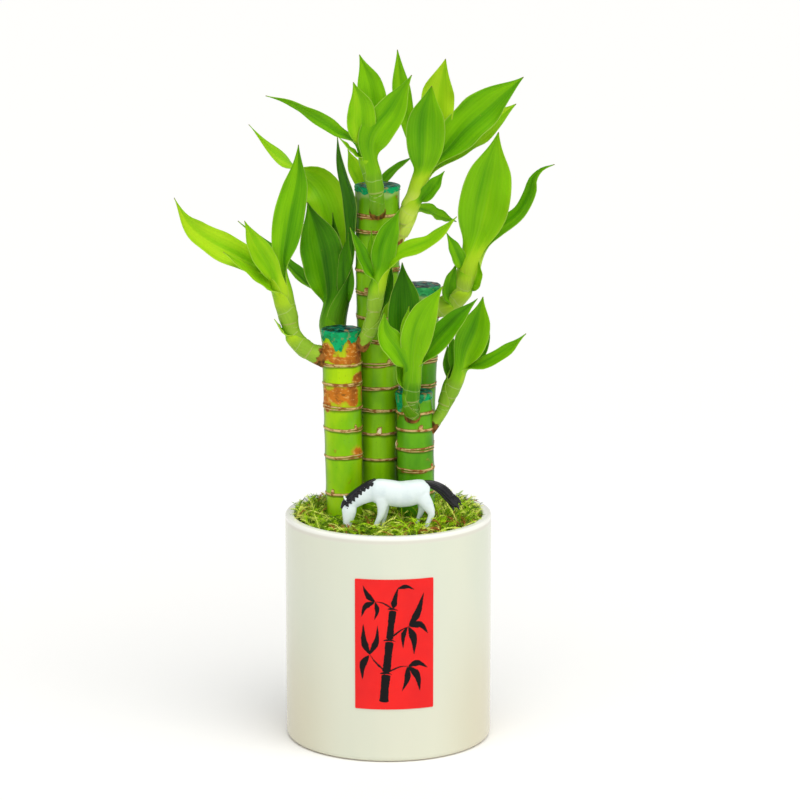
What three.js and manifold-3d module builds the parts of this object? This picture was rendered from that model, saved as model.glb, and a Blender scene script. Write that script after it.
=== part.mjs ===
// Lucky bamboo: cut dracaena stalks with leafy side shoots, standing in a glazed cylinder pot that is
// filled with growing medium and moss, with a red label on the pot's front and a small plastic horse.
// Millimetres, +Z up. The origin is the centre of the pot's flat underside, and the front faces -Y.

import * as THREE from "three";
import { mergeVertices } from "three/addons/utils/BufferGeometryUtils.js";
import Module from "manifold-3d";

const wasm = await Module();
wasm.setup();

// Driving dimensions

const GAP = 0.3; // between pieces that touch
const MERGE = 1e-4; // vertices nearer than this are one vertex

const POT = {
  height: 100,
  rimRadius: 45,
  footRadius: 45,
  wall: 4,
  floor: 5,
  lipRound: 2,
  footRound: 2.5,
  innerFootRound: 4,
  sides: 36,
};

const SOIL = { top: 92, holeFloor: 25, footChamfer: 4, sides: 32 };

const LABEL = { fromDegrees: -18.2, toDegrees: 25.3, bottom: 24, top: 81.5, thickness: 0.45, steps: 14 };

// A stalk's foot is where it leaves the soil, its head where it is cut. Rings are leaf scars.
const STALK_FOOT_Z = 100;
const STALK = { sides: 12, ringHeight: 0.5, ringReach: 1.1, seatChamfer: 0.6 };
const STALKS = {
  front_left: {
    foot: [-18.7, -11.5],
    head: [-20.1, -11.5],
    footRadius: 7.9,
    headRadius: 8.5,
    top: 183.5,
    rings: [112, 128.5, 140.7, 150.2, 160.4, 169.2],
  },
  centre: {
    foot: [-4.2, 0],
    head: [-4.6, 0],
    footRadius: 8.5,
    headRadius: 9.6,
    top: 244,
    rings: [114.5, 125, 136.3, 146.9, 156.9, 167.2, 177.5, 187.6, 198.5, 208, 216.3, 225.3, 232.2],
  },
  front_right: {
    foot: [12.4, -10],
    head: [11.1, -10],
    footRadius: 8,
    headRadius: 7.8,
    top: 155.7,
    rings: [112.5, 122.6, 131.5, 140, 147.7],
  },
  back_right: {
    foot: [10.8, 9],
    head: [14.2, 9],
    footRadius: 7.8,
    headRadius: 8.3,
    top: 199,
    rings: [114, 129, 143, 155.4, 166.9, 177, 188],
  },
  back_left: {
    foot: [-19.5, 11.5],
    head: [-19.5, 12.5],
    footRadius: 7.1,
    headRadius: 7.2,
    top: 164,
    rings: [113, 127, 140, 151.5],
  },
};

const WAX = { dome: 1.3, skirt: 1.8, thickness: 0.7 };

const BLADE = {
  thickness: 0.7,
  tipWidth: 0.7,
  fold: 0.22, // rise of a blade's halves over its midrib, per unit of half width
  clasp: 0.08, // how far below its base the width would run out, as a share of the length
  neck: 0.4, // what the base takes off the width
  neckEnd: 0.45, // share of the length where that has faded
  drawn: 0.35, // what the tip takes off the width
  drawnFrom: 0.75, // share of the length where that sets in
  curl: 0.3, // half angle of the section's arc, in radians
  baseCurl: 0.9, // what the base adds to it
  baseCurlFade: 0.1, // share of the length over which that fades
  turnReach: 0.2, // share of the length over which a blade twists, each way
  slim: 7.5, // a blade narrower than this has one facet each side of its midrib
};

const STEM = { sides: 8, stepsPerSpan: 2 };

const MOSS = {
  under: SOIL.top + GAP,
  edge: 98.4,
  moundHeight: 5.2,
  moundSpread: 20,
  moundCentre: [1, 2],
  roughness: 0.55,
  sides: 24,
  circles: 5,
  strands: 44,
  strandRadius: 0.55,
  strandLength: [4, 9],
  strandRise: [1.5, 4.5],
  strandRootDepth: 1,
  lipClearance: 0.2,
  seed: 7,
};

const HORSE = {
  y: -28,
  hoofZ: 98.7,
  sides: 8,
  limbSides: 6,
  // hooves and muzzle as x and the offset from the horse's own y, with the room the moss leaves them
  standsAt: [[-5.6, -2], [-2.4, 2], [12.3, 2], [16.3, -2], [-17.5, 0]],
  footRoom: 2.2,
  footRoomHeight: 12,
  footRoomSides: 8,
};

const FINISHES = {
  glaze: { color: 0xe9ece0, roughness: 0.25 },
  soil: { color: 0x3a2b1e, roughness: 0.95 },
  label: { color: 0xf03028, roughness: 0.3 },
  stalk: { color: 0x7fae2e, roughness: 0.45 },
  wax: { color: 0x0f9c86, roughness: 0.35 },
  leaf: { color: 0x7cc41c, roughness: 0.4 },
  shadedLeaf: { color: 0x4f8f1e, roughness: 0.4 },
  moss: { color: 0xa9b83a, roughness: 0.9 },
  horse: { color: 0xf1f3f5, roughness: 0.3 },
};

// Solids: conversion and joining

function solidFrom(geometry) {
  const bare = geometry.clone();
  bare.deleteAttribute("normal");
  bare.deleteAttribute("uv");
  const merged = mergeVertices(bare, MERGE);
  const mesh = new wasm.Mesh({
    numProp: 3,
    vertProperties: new Float32Array(merged.attributes.position.array),
    triVerts: new Uint32Array(merged.index.array),
  });
  return new wasm.Manifold(mesh);
}

function geometryFrom(solid) {
  const mesh = solid.getMesh();
  const geometry = new THREE.BufferGeometry();
  geometry.setAttribute("position", new THREE.BufferAttribute(new Float32Array(mesh.vertProperties), 3));
  geometry.setIndex(new THREE.BufferAttribute(new Uint32Array(mesh.triVerts), 1));
  geometry.computeVertexNormals();
  return geometry;
}

// The outer surface of the biggest body: sealed hollows are filled and loose scraps dropped.
function biggestBody(solid) {
  const bodies = solid.decompose();
  return bodies.reduce((best, body) => (body.volume() > best.volume() ? body : best));
}

// A closed surface through rings of equal point count. Each ring runs counter-clockwise as seen
// from the last ring, and flat fans close both ends.
function loft(rings) {
  const count = rings[0].length;
  const points = rings.flat();
  const faces = [];
  for (let i = 0; i + 1 < rings.length; i++) {
    for (let j = 0; j < count; j++) {
      const a = i * count + j;
      const b = i * count + ((j + 1) % count);
      faces.push(a, b, b + count, a, b + count, a + count);
    }
  }
  const end = (rings.length - 1) * count;
  for (let j = 1; j + 1 < count; j++) {
    faces.push(0, j + 1, j);
    faces.push(end, end + j, end + j + 1);
  }
  return indexed(points, faces);
}

function indexed(points, faces) {
  const geometry = new THREE.BufferGeometry().setFromPoints(points);
  geometry.setIndex(faces);
  return geometry;
}

// A profile of [radius, z] pairs, from the axis at the bottom to the axis again, turned about Z.
function turned(profile, sides) {
  const points = profile.map(([radius, z]) => new THREE.Vector2(radius, z));
  return new THREE.LatheGeometry(points, sides).rotateX(Math.PI / 2);
}

// Points of a round corner, from one angle to the other in degrees, as [radius, z] pairs.
function corner(centreRadius, centreZ, round, fromDegrees, toDegrees, steps) {
  return Array.from({ length: steps + 1 }, (_, i) => {
    const angle = THREE.MathUtils.degToRad(THREE.MathUtils.lerp(fromDegrees, toDegrees, i / steps));
    return [centreRadius + round * Math.cos(angle), centreZ + round * Math.sin(angle)];
  });
}

// Pot, soil and label

function potOuterRadius(z) {
  return THREE.MathUtils.lerp(POT.footRadius, POT.rimRadius, z / POT.height);
}

function potInnerRadius(z) {
  return potOuterRadius(z) - POT.wall;
}

function potGeometry() {
  const { height, floor, lipRound, footRound, innerFootRound } = POT;
  const lipZ = height - lipRound;
  const innerFootZ = floor + innerFootRound;
  const profile = [
    [0, 0],
    ...corner(potOuterRadius(footRound) - footRound, footRound, footRound, -90, 0, 4),
    ...corner(potOuterRadius(lipZ) - lipRound, lipZ, lipRound, 0, 180, 6),
    ...corner(potInnerRadius(innerFootZ) - innerFootRound, innerFootZ, innerFootRound, 0, -90, 2),
    [0, floor],
  ];
  return turned(profile, POT.sides);
}

function soilGeometry() {
  const bottom = POT.floor + GAP;
  const wallFoot = bottom + SOIL.footChamfer;
  const profile = [
    [0, bottom],
    [potInnerRadius(bottom) - SOIL.footChamfer - GAP, bottom],
    [potInnerRadius(wallFoot) - GAP, wallFoot],
    [potInnerRadius(SOIL.top) - GAP, SOIL.top],
    [0, SOIL.top],
  ];
  let solid = solidFrom(turned(profile, SOIL.sides));
  for (const stalk of Object.values(STALKS)) solid = solid.subtract(stalkHole(stalk));
  return geometryFrom(solid);
}

// A strip of the pot's outer surface, lifted by the gap and as thick as the label.
function labelGeometry() {
  const { fromDegrees, toDegrees, bottom, top, thickness, steps } = LABEL;
  const rings = Array.from({ length: steps + 1 }, (_, i) => {
    const angle = THREE.MathUtils.degToRad(THREE.MathUtils.lerp(fromDegrees, toDegrees, i / steps));
    const at = (z, lift) => {
      const radius = potOuterRadius(z) + GAP + lift;
      return new THREE.Vector3(radius * Math.sin(angle), -radius * Math.cos(angle), z);
    };
    return [at(top, 0), at(top, thickness), at(bottom, thickness), at(bottom, 0)];
  });
  return loft(rings);
}

// Stalks and their wax seals

function stalkRadius(stalk, z) {
  const share = (z - STALK_FOOT_Z) / (stalk.top - STALK_FOOT_Z);
  return THREE.MathUtils.lerp(stalk.footRadius, stalk.headRadius, THREE.MathUtils.clamp(share, 0, 1));
}

// A stalk stands upright in the soil and leans from its foot on.
function stalkAxis(stalk, z) {
  const share = Math.max(0, (z - STALK_FOOT_Z) / (stalk.top - STALK_FOOT_Z));
  return [
    THREE.MathUtils.lerp(stalk.foot[0], stalk.head[0], share),
    THREE.MathUtils.lerp(stalk.foot[1], stalk.head[1], share),
  ];
}

// Slides each level of an upright turned shape sideways, on to the stalk's leaning axis.
function leaned(geometry, stalk) {
  const position = geometry.attributes.position;
  for (let i = 0; i < position.count; i++) {
    const [x, y] = stalkAxis(stalk, position.getZ(i));
    position.setXYZ(i, position.getX(i) + x, position.getY(i) + y, position.getZ(i));
  }
  return geometry;
}

function stalkGeometry(stalk) {
  const { ringHeight, ringReach, seatChamfer } = STALK;
  const bottom = SOIL.holeFloor + GAP;
  const radius = (z) => stalkRadius(stalk, z);
  const profile = [
    [0, bottom],
    [radius(bottom) - seatChamfer, bottom],
    [radius(bottom), bottom + seatChamfer],
    [radius(STALK_FOOT_Z), STALK_FOOT_Z],
    ...stalk.rings.flatMap((z) => [
      [radius(z), z - ringReach],
      [radius(z) + ringHeight, z],
      [radius(z), z + ringReach],
    ]),
    [radius(stalk.top), stalk.top],
    [0, stalk.top],
  ];
  return leaned(turned(profile, STALK.sides), stalk);
}

// What the stalk's own round body needs free of other pieces, from one height to another.
function stalkRoom(stalk, fromZ, toZ, clearance) {
  const wide = clearance / Math.cos(Math.PI / STALK.sides);
  const profile = [
    [0, fromZ],
    [stalkRadius(stalk, fromZ) + wide, fromZ],
    [stalkRadius(stalk, STALK_FOOT_Z) + wide, Math.max(fromZ + 1, STALK_FOOT_Z)],
    [stalkRadius(stalk, toZ) + wide, toZ],
    [0, toZ],
  ];
  return solidFrom(leaned(turned(profile, STALK.sides), stalk));
}

function stalkHole(stalk) {
  return stalkRoom(stalk, SOIL.holeFloor, stalk.top, GAP);
}

function waxGeometry(stalk) {
  const { dome, skirt, thickness } = WAX;
  const inner = stalkRadius(stalk, stalk.top) + GAP;
  const outer = inner + thickness;
  const under = stalk.top + GAP;
  const profile = [
    [0, under],
    [inner, under],
    [inner, stalk.top - skirt],
    [outer, stalk.top - skirt],
    [outer, under],
    [outer - thickness, under + thickness],
    [0, under + dome],
  ];
  return leaned(turned(profile, STALK.sides), stalk);
}

// What the wax and the gap round it take up.
function waxRoom(stalk) {
  const wide = stalkRadius(stalk, stalk.top) + WAX.thickness + 2 * GAP;
  const low = stalk.top - WAX.skirt - GAP;
  const high = stalk.top + WAX.dome + GAP;
  const profile = [[0, low], [wide, low], [wide, high], [0, high]];
  return solidFrom(leaned(turned(profile, STALK.sides), stalk));
}

// Leaves and shoots

const point = ([x, y, z]) => new THREE.Vector3(x, y, z);

// Share of the full width along a blade: a narrow neck, a belly, and a tip that is drawn out to a point.
function bladeWidthShare(t, belly, pointed) {
  const { clasp, neck, neckEnd, drawn, drawnFrom } = BLADE;
  const rise = (pointed * (belly + clasp)) / (1 - belly);
  const oval = ((t + clasp) / (belly + clasp)) ** rise * ((1 - t) / (1 - belly)) ** pointed;
  const base = 1 - neck * (1 - THREE.MathUtils.smoothstep(t, 0, neckEnd));
  return oval * base * (1 - drawn * THREE.MathUtils.smoothstep(t, drawnFrom, 1));
}

// One leaf: its midrib runs through the rib's points from base to tip, its upper side faces the given
// way, and its section is a shallow fold that closes round the stem at the base. The turn in degrees
// twists what lies past turnAt about the midrib. Both faces are split into triangles alike.
function bladeGeometry(leaf) {
  const { width, face, turn = 0, turnAt = 0.5, belly = 0.45, pointed = 1, rows = 6 } = leaf;
  const { thickness, tipWidth, fold, curl, baseCurl, baseCurlFade, turnReach, slim } = BLADE;
  const columns = width < slim ? 2 : 4;
  const midrib = new THREE.CatmullRomCurve3(leaf.rib.map(point), false, "centripetal");
  const upper = point(face);
  const top = [];
  const bottom = [];
  for (let i = 0; i <= rows; i++) {
    const t = i / rows;
    const along = midrib.getTangentAt(t);
    const normal = upper.clone().addScaledVector(along, -upper.dot(along)).normalize();
    const twist = THREE.MathUtils.smoothstep(t, turnAt - turnReach, turnAt + turnReach);
    normal.applyAxisAngle(along, THREE.MathUtils.degToRad(turn) * twist);
    const across = along.clone().cross(normal);
    const half = Math.max(width * bladeWidthShare(t, belly, pointed), tipWidth) / 2;
    const wrap = curl + baseCurl * Math.exp(-t / baseCurlFade);
    const centre = midrib.getPointAt(t);
    for (let j = 0; j <= columns; j++) {
      const s = (2 * j) / columns - 1;
      const lift = (half * (1 - Math.cos(wrap * s))) / wrap + fold * half * Math.abs(s);
      const reach = (half * Math.sin(wrap * s)) / wrap;
      const slope = wrap * s + Math.atan(fold) * Math.sign(s);
      const middle = centre.clone().addScaledVector(across, reach).addScaledVector(normal, lift);
      const outward = normal.clone().multiplyScalar(Math.cos(slope));
      outward.addScaledVector(across, -Math.sin(slope));
      top.push(middle.clone().addScaledVector(outward, thickness / 2));
      bottom.push(middle.clone().addScaledVector(outward, -thickness / 2));
    }
  }
  return indexed([...top, ...bottom], bladeFaces(rows, columns));
}

function bladeFaces(rows, columns) {
  const line = columns + 1;
  const under = (rows + 1) * line;
  const faces = [];
  for (let i = 0; i < rows; i++) {
    for (let j = 0; j < columns; j++) {
      const a = i * line + j;
      const [b, c, d] = [a + 1, a + line + 1, a + line];
      faces.push(a, b, c, a, c, d);
      faces.push(under + a, under + c, under + b, under + a, under + d, under + c);
    }
    for (const [a, b] of [
      [i * line, (i + 1) * line],
      [(i + 1) * line + columns, i * line + columns],
    ]) {
      faces.push(a, b, under + b, a, under + b, under + a);
    }
  }
  for (let j = 0; j < columns; j++) {
    const tip = rows * line + j;
    faces.push(j + 1, j, under + j, j + 1, under + j, under + j + 1);
    faces.push(tip, tip + 1, under + tip + 1, tip, under + tip + 1, under + tip);
  }
  return faces;
}

// A round stem along a smooth line, with a radius at each of the line's points.
function stemGeometry(path, radii) {
  const line = new THREE.CatmullRomCurve3(path.map(point), false, "centripetal");
  const steps = (path.length - 1) * STEM.stepsPerSpan;
  const frames = line.computeFrenetFrames(steps, false);
  const rings = [];
  for (let i = 0; i <= steps; i++) {
    const place = (i / steps) * (path.length - 1);
    const span = Math.min(Math.floor(place), path.length - 2);
    const radius = THREE.MathUtils.lerp(radii[span], radii[span + 1], place - span);
    const centre = line.getPointAt(i / steps);
    rings.push(
      Array.from({ length: STEM.sides }, (_, j) => {
        const angle = (2 * Math.PI * j) / STEM.sides;
        return centre
          .clone()
          .addScaledVector(frames.normals[i], radius * Math.cos(angle))
          .addScaledVector(frames.binormals[i], radius * Math.sin(angle));
      }),
    );
  }
  return loft(rings);
}

// Each shoot grows from one stalk's side. Points are in the part's own frame.
const TO_FRONT = [0, -1, 0.15];
const SHOOTS = {
  shoot_front_left_out: {
    stalk: "front_left",
    path: [
      [-26.5, -11.5, 171],
      [-34.5, -12, 174.5],
      [-40.5, -13, 181.5],
      [-43, -14, 191.5],
      [-45.2, -14, 200.5],
    ],
    radii: [4.3, 3.8, 3.5, 4.1, 2.2],
    leaves: {
      long: {
        rib: [
          [-45, -14, 198],
          [-55.5, -16, 211],
          [-75.5, -20, 223],
          [-84.5, -23, 231],
          [-90, -25, 242.5],
        ],
        width: 13.5, face: [0.3, -0.9, 0.5], belly: 0.5, pointed: 1.25, rows: 7,
      },
      low: {
        rib: [[-44.5, -15.2, 195.5], [-55.5, -21, 207.5], [-62.5, -24, 213.5], [-69.5, -26, 219.5]],
        width: 8.5, face: [0.3, -0.6, 1], rows: 4,
      },
      near: {
        rib: [[-45, -16, 199.5], [-51, -19, 212.5], [-56.5, -22, 222.5], [-60.5, -24, 232.5]],
        width: 10.5, face: [0.5, -1, 0.2], belly: 0.5, rows: 5,
      },
      tall: {
        rib: [[-45.5, -13, 199], [-45, -12, 213], [-42, -10, 233], [-39, -8, 247.5], [-38, -7, 262.5]],
        width: 13.4, face: TO_FRONT, belly: 0.5, rows: 7,
      },
      bract: {
        rib: [[-40.5, -14, 180], [-45, -16, 183], [-48.5, -17, 189]],
        width: 5, face: [1, 0, 0.6], rows: 3,
      },
    },
  },
  shoot_back_left: {
    stalk: "back_left",
    finish: FINISHES.shadedLeaf,
    path: [
      [-22, 8, 146],
      [-24, 3.2, 156],
      [-24, 2.6, 168],
      [-24, 2.6, 180],
      [-23.5, 3.2, 188],
      [-22, 4.6, 194.5],
    ],
    radii: [2.6, 2.6, 2.5, 3.4, 4.2, 2],
    leaves: {
      thin: {
        rib: [[-23, 5, 185.5], [-34, 12, 197], [-48, 18, 210], [-65.5, 22, 225]],
        width: 9, face: [0.5, -0.35, 1], rows: 5,
      },
      broad: {
        rib: [[-23, 2.5, 182.5], [-26, 2, 195.5], [-29, 1, 215], [-34.5, -2, 237]],
        width: 19, face: [0.2, -1, 0.1], belly: 0.55, rows: 7,
      },
      inner: {
        rib: [[-20, 2.5, 184], [-18, 0.5, 198.5], [-18, -1.5, 212.5], [-17, -2.5, 224]],
        width: 8, face: [-0.4, -1, 0.1], rows: 4,
      },
      far: {
        rib: [
          [-20.5, 6, 193],
          [-22, 12.5, 217],
          [-29.5, 19, 240],
          [-42, 22, 250.5],
          [-52, 23, 258],
          [-60.5, 24, 267],
        ],
        width: 18, face: [0.1, -1, 0.3], belly: 0.42, pointed: 1.35, turn: -160, turnAt: 0.68, rows: 9,
      },
      young: {
        rib: [[-21, 6, 193], [-22, 7.5, 212.5], [-24, 8, 231]],
        width: 5, face: TO_FRONT, rows: 4,
      },
      upright: {
        rib: [
          [-19.5, 2, 184],
          [-16, -2.5, 212],
          [-15.5, -5, 236.5],
          [-20.5, -6.5, 257],
          [-21.5, -7, 266],
        ],
        width: 8.5, face: [-0.8, -0.7, 0], belly: 0.66, rows: 7,
      },
    },
  },
  shoot_centre_back: {
    stalk: "centre",
    finish: FINISHES.shadedLeaf,
    path: [[-7.5, 8, 221], [-9, 12.5, 226], [-9.5, 14.5, 233], [-9.5, 15, 238.5]],
    radii: [3.8, 3.4, 3.2, 1.6],
    leaves: {
      left: {
        rib: [[-9.5, 15, 237], [-14, 16, 247.5], [-17.5, 18, 257]],
        width: 7.5, face: [0.4, -1, 0.6], rows: 4,
      },
      right: {
        rib: [[-8, 14, 235.5], [1.5, 13.5, 247.5], [11, 12, 255]],
        width: 5, face: [-0.3, -0.7, 0.8], rows: 4,
      },
      away: {
        rib: [[-9.5, 14.5, 235.5], [-9, 30, 246], [-9, 44, 253]],
        width: 11, face: [0, -0.5, 1], rows: 5,
      },
      drooping: {
        rib: [[-9, 15, 234.5], [-3, 31, 234.5], [1.5, 44, 224.5]],
        width: 10, face: [0, 0.2, 1], rows: 5,
      },
    },
  },
  shoot_centre_front: {
    stalk: "centre",
    path: [[-4.5, -8, 233], [-4.7, -13.8, 240], [-5.5, -15, 246], [-8.5, -15, 257], [-8.8, -15, 259.5]],
    radii: [3.4, 3.2, 3.3, 3.5, 1.8],
    leaves: {
      left: {
        rib: [[-9.5, -15, 257], [-18.5, -17.5, 267], [-31, -21, 277], [-41, -25, 283], [-51, -28, 286]],
        width: 8, face: [0.2, -1, 0.8], belly: 0.4, pointed: 1.15, turn: -75, rows: 7,
      },
      bract: {
        rib: [[-9.5, -15.5, 256], [-16, -19, 262], [-20.5, -21, 267.5]],
        width: 4.5, face: [0.5, -0.4, 1], rows: 3,
      },
      front: {
        rib: [[-9.5, -16, 257.5], [-11, -19, 271.5], [-11.5, -20.5, 281], [-14.5, -22, 291]],
        width: 12.5, face: TO_FRONT, belly: 0.5, rows: 6,
      },
      tall: {
        rib: [[-8.5, -14.5, 257], [-6.5, -12, 273.5], [-7.5, -10, 287], [-12, -8, 301]],
        width: 12.5, face: [0.15, -1, 0.1], belly: 0.55, rows: 6,
      },
      folded: {
        rib: [[-7, -15, 252], [-6, -20, 266.5], [1.5, -21, 278], [10, -22, 294]],
        width: 15, face: [-0.35, -1, 0.1], belly: 0.42, rows: 6,
      },
    },
  },
  shoot_centre_right: {
    stalk: "centre",
    path: [[2.5, -1, 216], [6.5, -2, 225], [8.5, -2, 233.5], [11.5, -3, 240.5], [13.2, -3.4, 246]],
    radii: [2.4, 2.2, 3.2, 3.2, 2],
    leaves: {
      front: {
        rib: [[13.5, -3.5, 242.5], [15.5, -8, 259.5], [16, -10, 273.5], [18.5, -10, 288]],
        width: 16.8, face: [0.1, -1, 0], belly: 0.56, pointed: 0.85, rows: 6,
      },
      tall: {
        rib: [[14.5, -2, 244.5], [20.5, 2, 267.5], [21.5, 3, 284.5], [24.5, 2, 298]],
        width: 14.5, face: TO_FRONT, belly: 0.66, rows: 6,
      },
      right: {
        rib: [[14.5, -3, 244], [26.5, -2, 261.5], [41, -2, 276.5], [57.5, -4, 291]],
        width: 18, face: [-0.35, -1, 0.4], belly: 0.55, rows: 7,
      },
      right_under: {
        rib: [[14, -2, 243], [27.5, 5, 257.5], [42, 10, 268], [55, 12, 277.5]],
        width: 14, face: [-0.3, -0.9, 0.5], belly: 0.6, rows: 6,
      },
      small: {
        rib: [[11, -4.5, 235], [18.5, -8, 243.5], [24, -9, 251.5]],
        width: 7, face: [-0.5, -1, 0.3], belly: 0.5, rows: 4,
      },
      low: {
        rib: [[8.5, -1, 231.5], [15.5, 4, 232.5], [21.5, 8, 229.5], [29.5, 11, 226.5]],
        width: 8, face: [0, -0.8, 1], belly: 0.5, rows: 5,
      },
      slim: {
        rib: [[13.5, -2, 243], [10, 3, 263], [5.5, 5, 285], [4, 6, 301.5]],
        width: 8, face: [0.1, -1, 0.1], belly: 0.68, rows: 5,
      },
    },
  },
  shoot_back_right: {
    stalk: "back_right",
    path: [[19, 8.5, 188], [26.5, 8, 191], [31, 7, 197], [34, 6, 204.5], [35.6, 5.4, 211]],
    radii: [3.8, 4, 4.4, 4.6, 3],
    leaves: {
      tall: {
        rib: [[34.5, 5.5, 205.5], [38.5, 3, 222], [42.5, -0.5, 242], [47, -4, 267.5]],
        width: 22, face: [-0.1, -1, 0], belly: 0.52, rows: 7,
      },
      right: {
        rib: [[35.5, 6, 205.5], [47.5, 9, 222.5], [56, 9.5, 231], [62.5, 9, 240], [71.5, 7, 252]],
        width: 10, face: [-0.5, -0.7, 0.5], belly: 0.5, rows: 8,
      },
      left: {
        rib: [[34, 4.5, 203], [29, -0.5, 215], [25, -2.5, 224]],
        width: 7, face: [0.6, -1, 0], rows: 4,
      },
      low: {
        rib: [[27, 7, 187.5], [26, 2, 200], [29.5, 0, 210.5]],
        width: 7, face: [0.5, -1, 0], rows: 4,
      },
      sheath: {
        rib: [[32.5, 6, 195], [38, 3, 202.5], [39, 2, 212]],
        width: 7, face: [-0.6, -0.8, 0], rows: 4,
      },
    },
  },
  shoot_front_left_in: {
    stalk: "front_left",
    path: [[-12.2, -14, 176.5], [-9.2, -16.4, 181.5], [-6.4, -18.4, 190], [-4.6, -19.8, 203], [-3.6, -20, 208]],
    radii: [3.3, 3, 3.1, 3.2, 1.8],
    leaves: {
      right: {
        rib: [[-4, -20, 203], [4.5, -23, 217], [18, -27, 224], [29, -28, 235]],
        width: 9.5, face: [-0.3, -0.6, 0.9], turn: 40, turnAt: 0.8, rows: 6,
      },
      middle: {
        rib: [[-3.5, -19.5, 204], [-1.5, -21.5, 222], [5, -21, 237]],
        width: 11, face: [0.2, -1, 0], rows: 5,
      },
      narrow: {
        rib: [[-4.5, -19.5, 204], [-7, -16, 218], [-7, -15, 227]],
        width: 4.5, face: TO_FRONT, rows: 4,
      },
      left: {
        rib: [[-4, -20.5, 202], [-11, -24, 217.5], [-16, -26, 230]],
        width: 7, face: [0.6, -0.8, 0.4], rows: 4,
      },
      inner: {
        rib: [[-4.5, -19, 190.5], [-0.5, -14.5, 201], [1.5, -13, 213]],
        width: 6, face: [-0.4, -1, 0], rows: 4,
      },
    },
  },
  shoot_front_right_front: {
    stalk: "front_right",
    path: [[10.5, -15.8, 146], [10, -21.8, 153], [10, -23.6, 160], [10.5, -24, 169], [10.8, -24.3, 172]],
    radii: [3.4, 3.3, 3.3, 3.6, 1.8],
    leaves: {
      back: {
        rib: [[10, -23, 164.5], [7.5, -19.5, 184.5], [7, -18, 199.5], [6, -17, 213.5]],
        width: 15, face: [0, -1, 0.1], belly: 0.5, rows: 6,
      },
      left: {
        rib: [[10, -25, 164], [4.5, -30, 176.5], [-1.5, -33, 186.5], [-1.5, -34, 195]],
        width: 11, face: [0.4, -1, 0.3], belly: 0.55, rows: 6,
      },
      middle: {
        rib: [[10.5, -25, 164], [11.5, -30, 180.5], [15.5, -33.5, 194], [23, -35, 206.5]],
        width: 13.5, face: [-0.1, -1, 0.1], belly: 0.5, rows: 6,
      },
      right: {
        rib: [[11, -24.5, 165], [18, -25, 177], [25, -24.5, 185.5], [38, -23, 199]],
        width: 11.5, face: [-0.5, -0.8, 0.3], belly: 0.45, rows: 6,
      },
      young: {
        rib: [[10, -23.5, 170.5], [7.5, -22.5, 185.5], [9, -21.5, 195.5]],
        width: 5, face: TO_FRONT, rows: 4,
      },
      sheath: {
        rib: [[10, -23, 156.5], [5, -22.5, 166], [4.5, -22.5, 174]],
        width: 6, face: [0.7, -0.7, 0], rows: 4,
      },
    },
  },
  shoot_front_right_out: {
    stalk: "front_right",
    path: [[17.5, -10, 139], [22.5, -10, 146], [25.5, -10, 153], [28.5, -11, 160.5], [29.8, -11.5, 165]],
    radii: [2.7, 2.6, 3, 3.6, 2],
    leaves: {
      tall: {
        rib: [[29, -12.5, 162.5], [34, -14.5, 175], [38.5, -16, 187.5], [40.5, -16, 198.5]],
        width: 14, face: [-0.2, -1, 0], belly: 0.5, rows: 6,
      },
      behind: {
        rib: [[30, -11, 163], [39.5, -8, 176], [41.5, -6, 190]],
        width: 9, face: [-0.4, -1, 0], rows: 4,
      },
      right: {
        rib: [[30, -12, 163], [40.5, -14, 168.5], [50.5, -15.5, 174.5], [59, -16, 182.5]],
        width: 6.8, face: [-0.3, -0.8, 0.7], belly: 0.5, rows: 5,
      },
      narrow: {
        rib: [[27.5, -10.5, 158.5], [25.5, -7.5, 166.5], [25.5, -6, 175.5]],
        width: 5, face: [0.5, -1, 0], rows: 4,
      },
      young: {
        rib: [[29, -11, 162], [28, -8, 172], [27.5, -6.5, 180.5]],
        width: 5, face: TO_FRONT, rows: 4,
      },
    },
  },
};

function shootGeometry(shoot) {
  let solid = solidFrom(stemGeometry(shoot.path, shoot.radii));
  for (const leaf of Object.values(shoot.leaves)) solid = solid.add(solidFrom(bladeGeometry(leaf)));
  const stalk = STALKS[shoot.stalk];
  solid = solid.subtract(stalkRoom(stalk, SOIL.top, stalk.top + WAX.dome, STALK.ringHeight + GAP));
  solid = solid.subtract(waxRoom(stalk));
  return geometryFrom(biggestBody(solid));
}

// Horse figurine

// A body of oval sections: each station gives x and z of the centre, half height and half width.
function ovalBody(stations, y, sides) {
  const centres = stations.map(([x, z]) => new THREE.Vector3(x, y, z));
  const line = new THREE.CatmullRomCurve3(centres, false, "centripetal");
  const sideways = new THREE.Vector3(0, 1, 0);
  const rings = stations.map(([, , halfHeight, halfWidth], i) => {
    const along = line.getTangent(i / (stations.length - 1));
    const across = sideways.clone().cross(along);
    return Array.from({ length: sides }, (_, j) => {
      const angle = (2 * Math.PI * j) / sides;
      return centres[i]
        .clone()
        .addScaledVector(across, halfHeight * Math.cos(angle))
        .addScaledVector(sideways, halfWidth * Math.sin(angle));
    });
  });
  return solidFrom(loft(rings));
}

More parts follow.
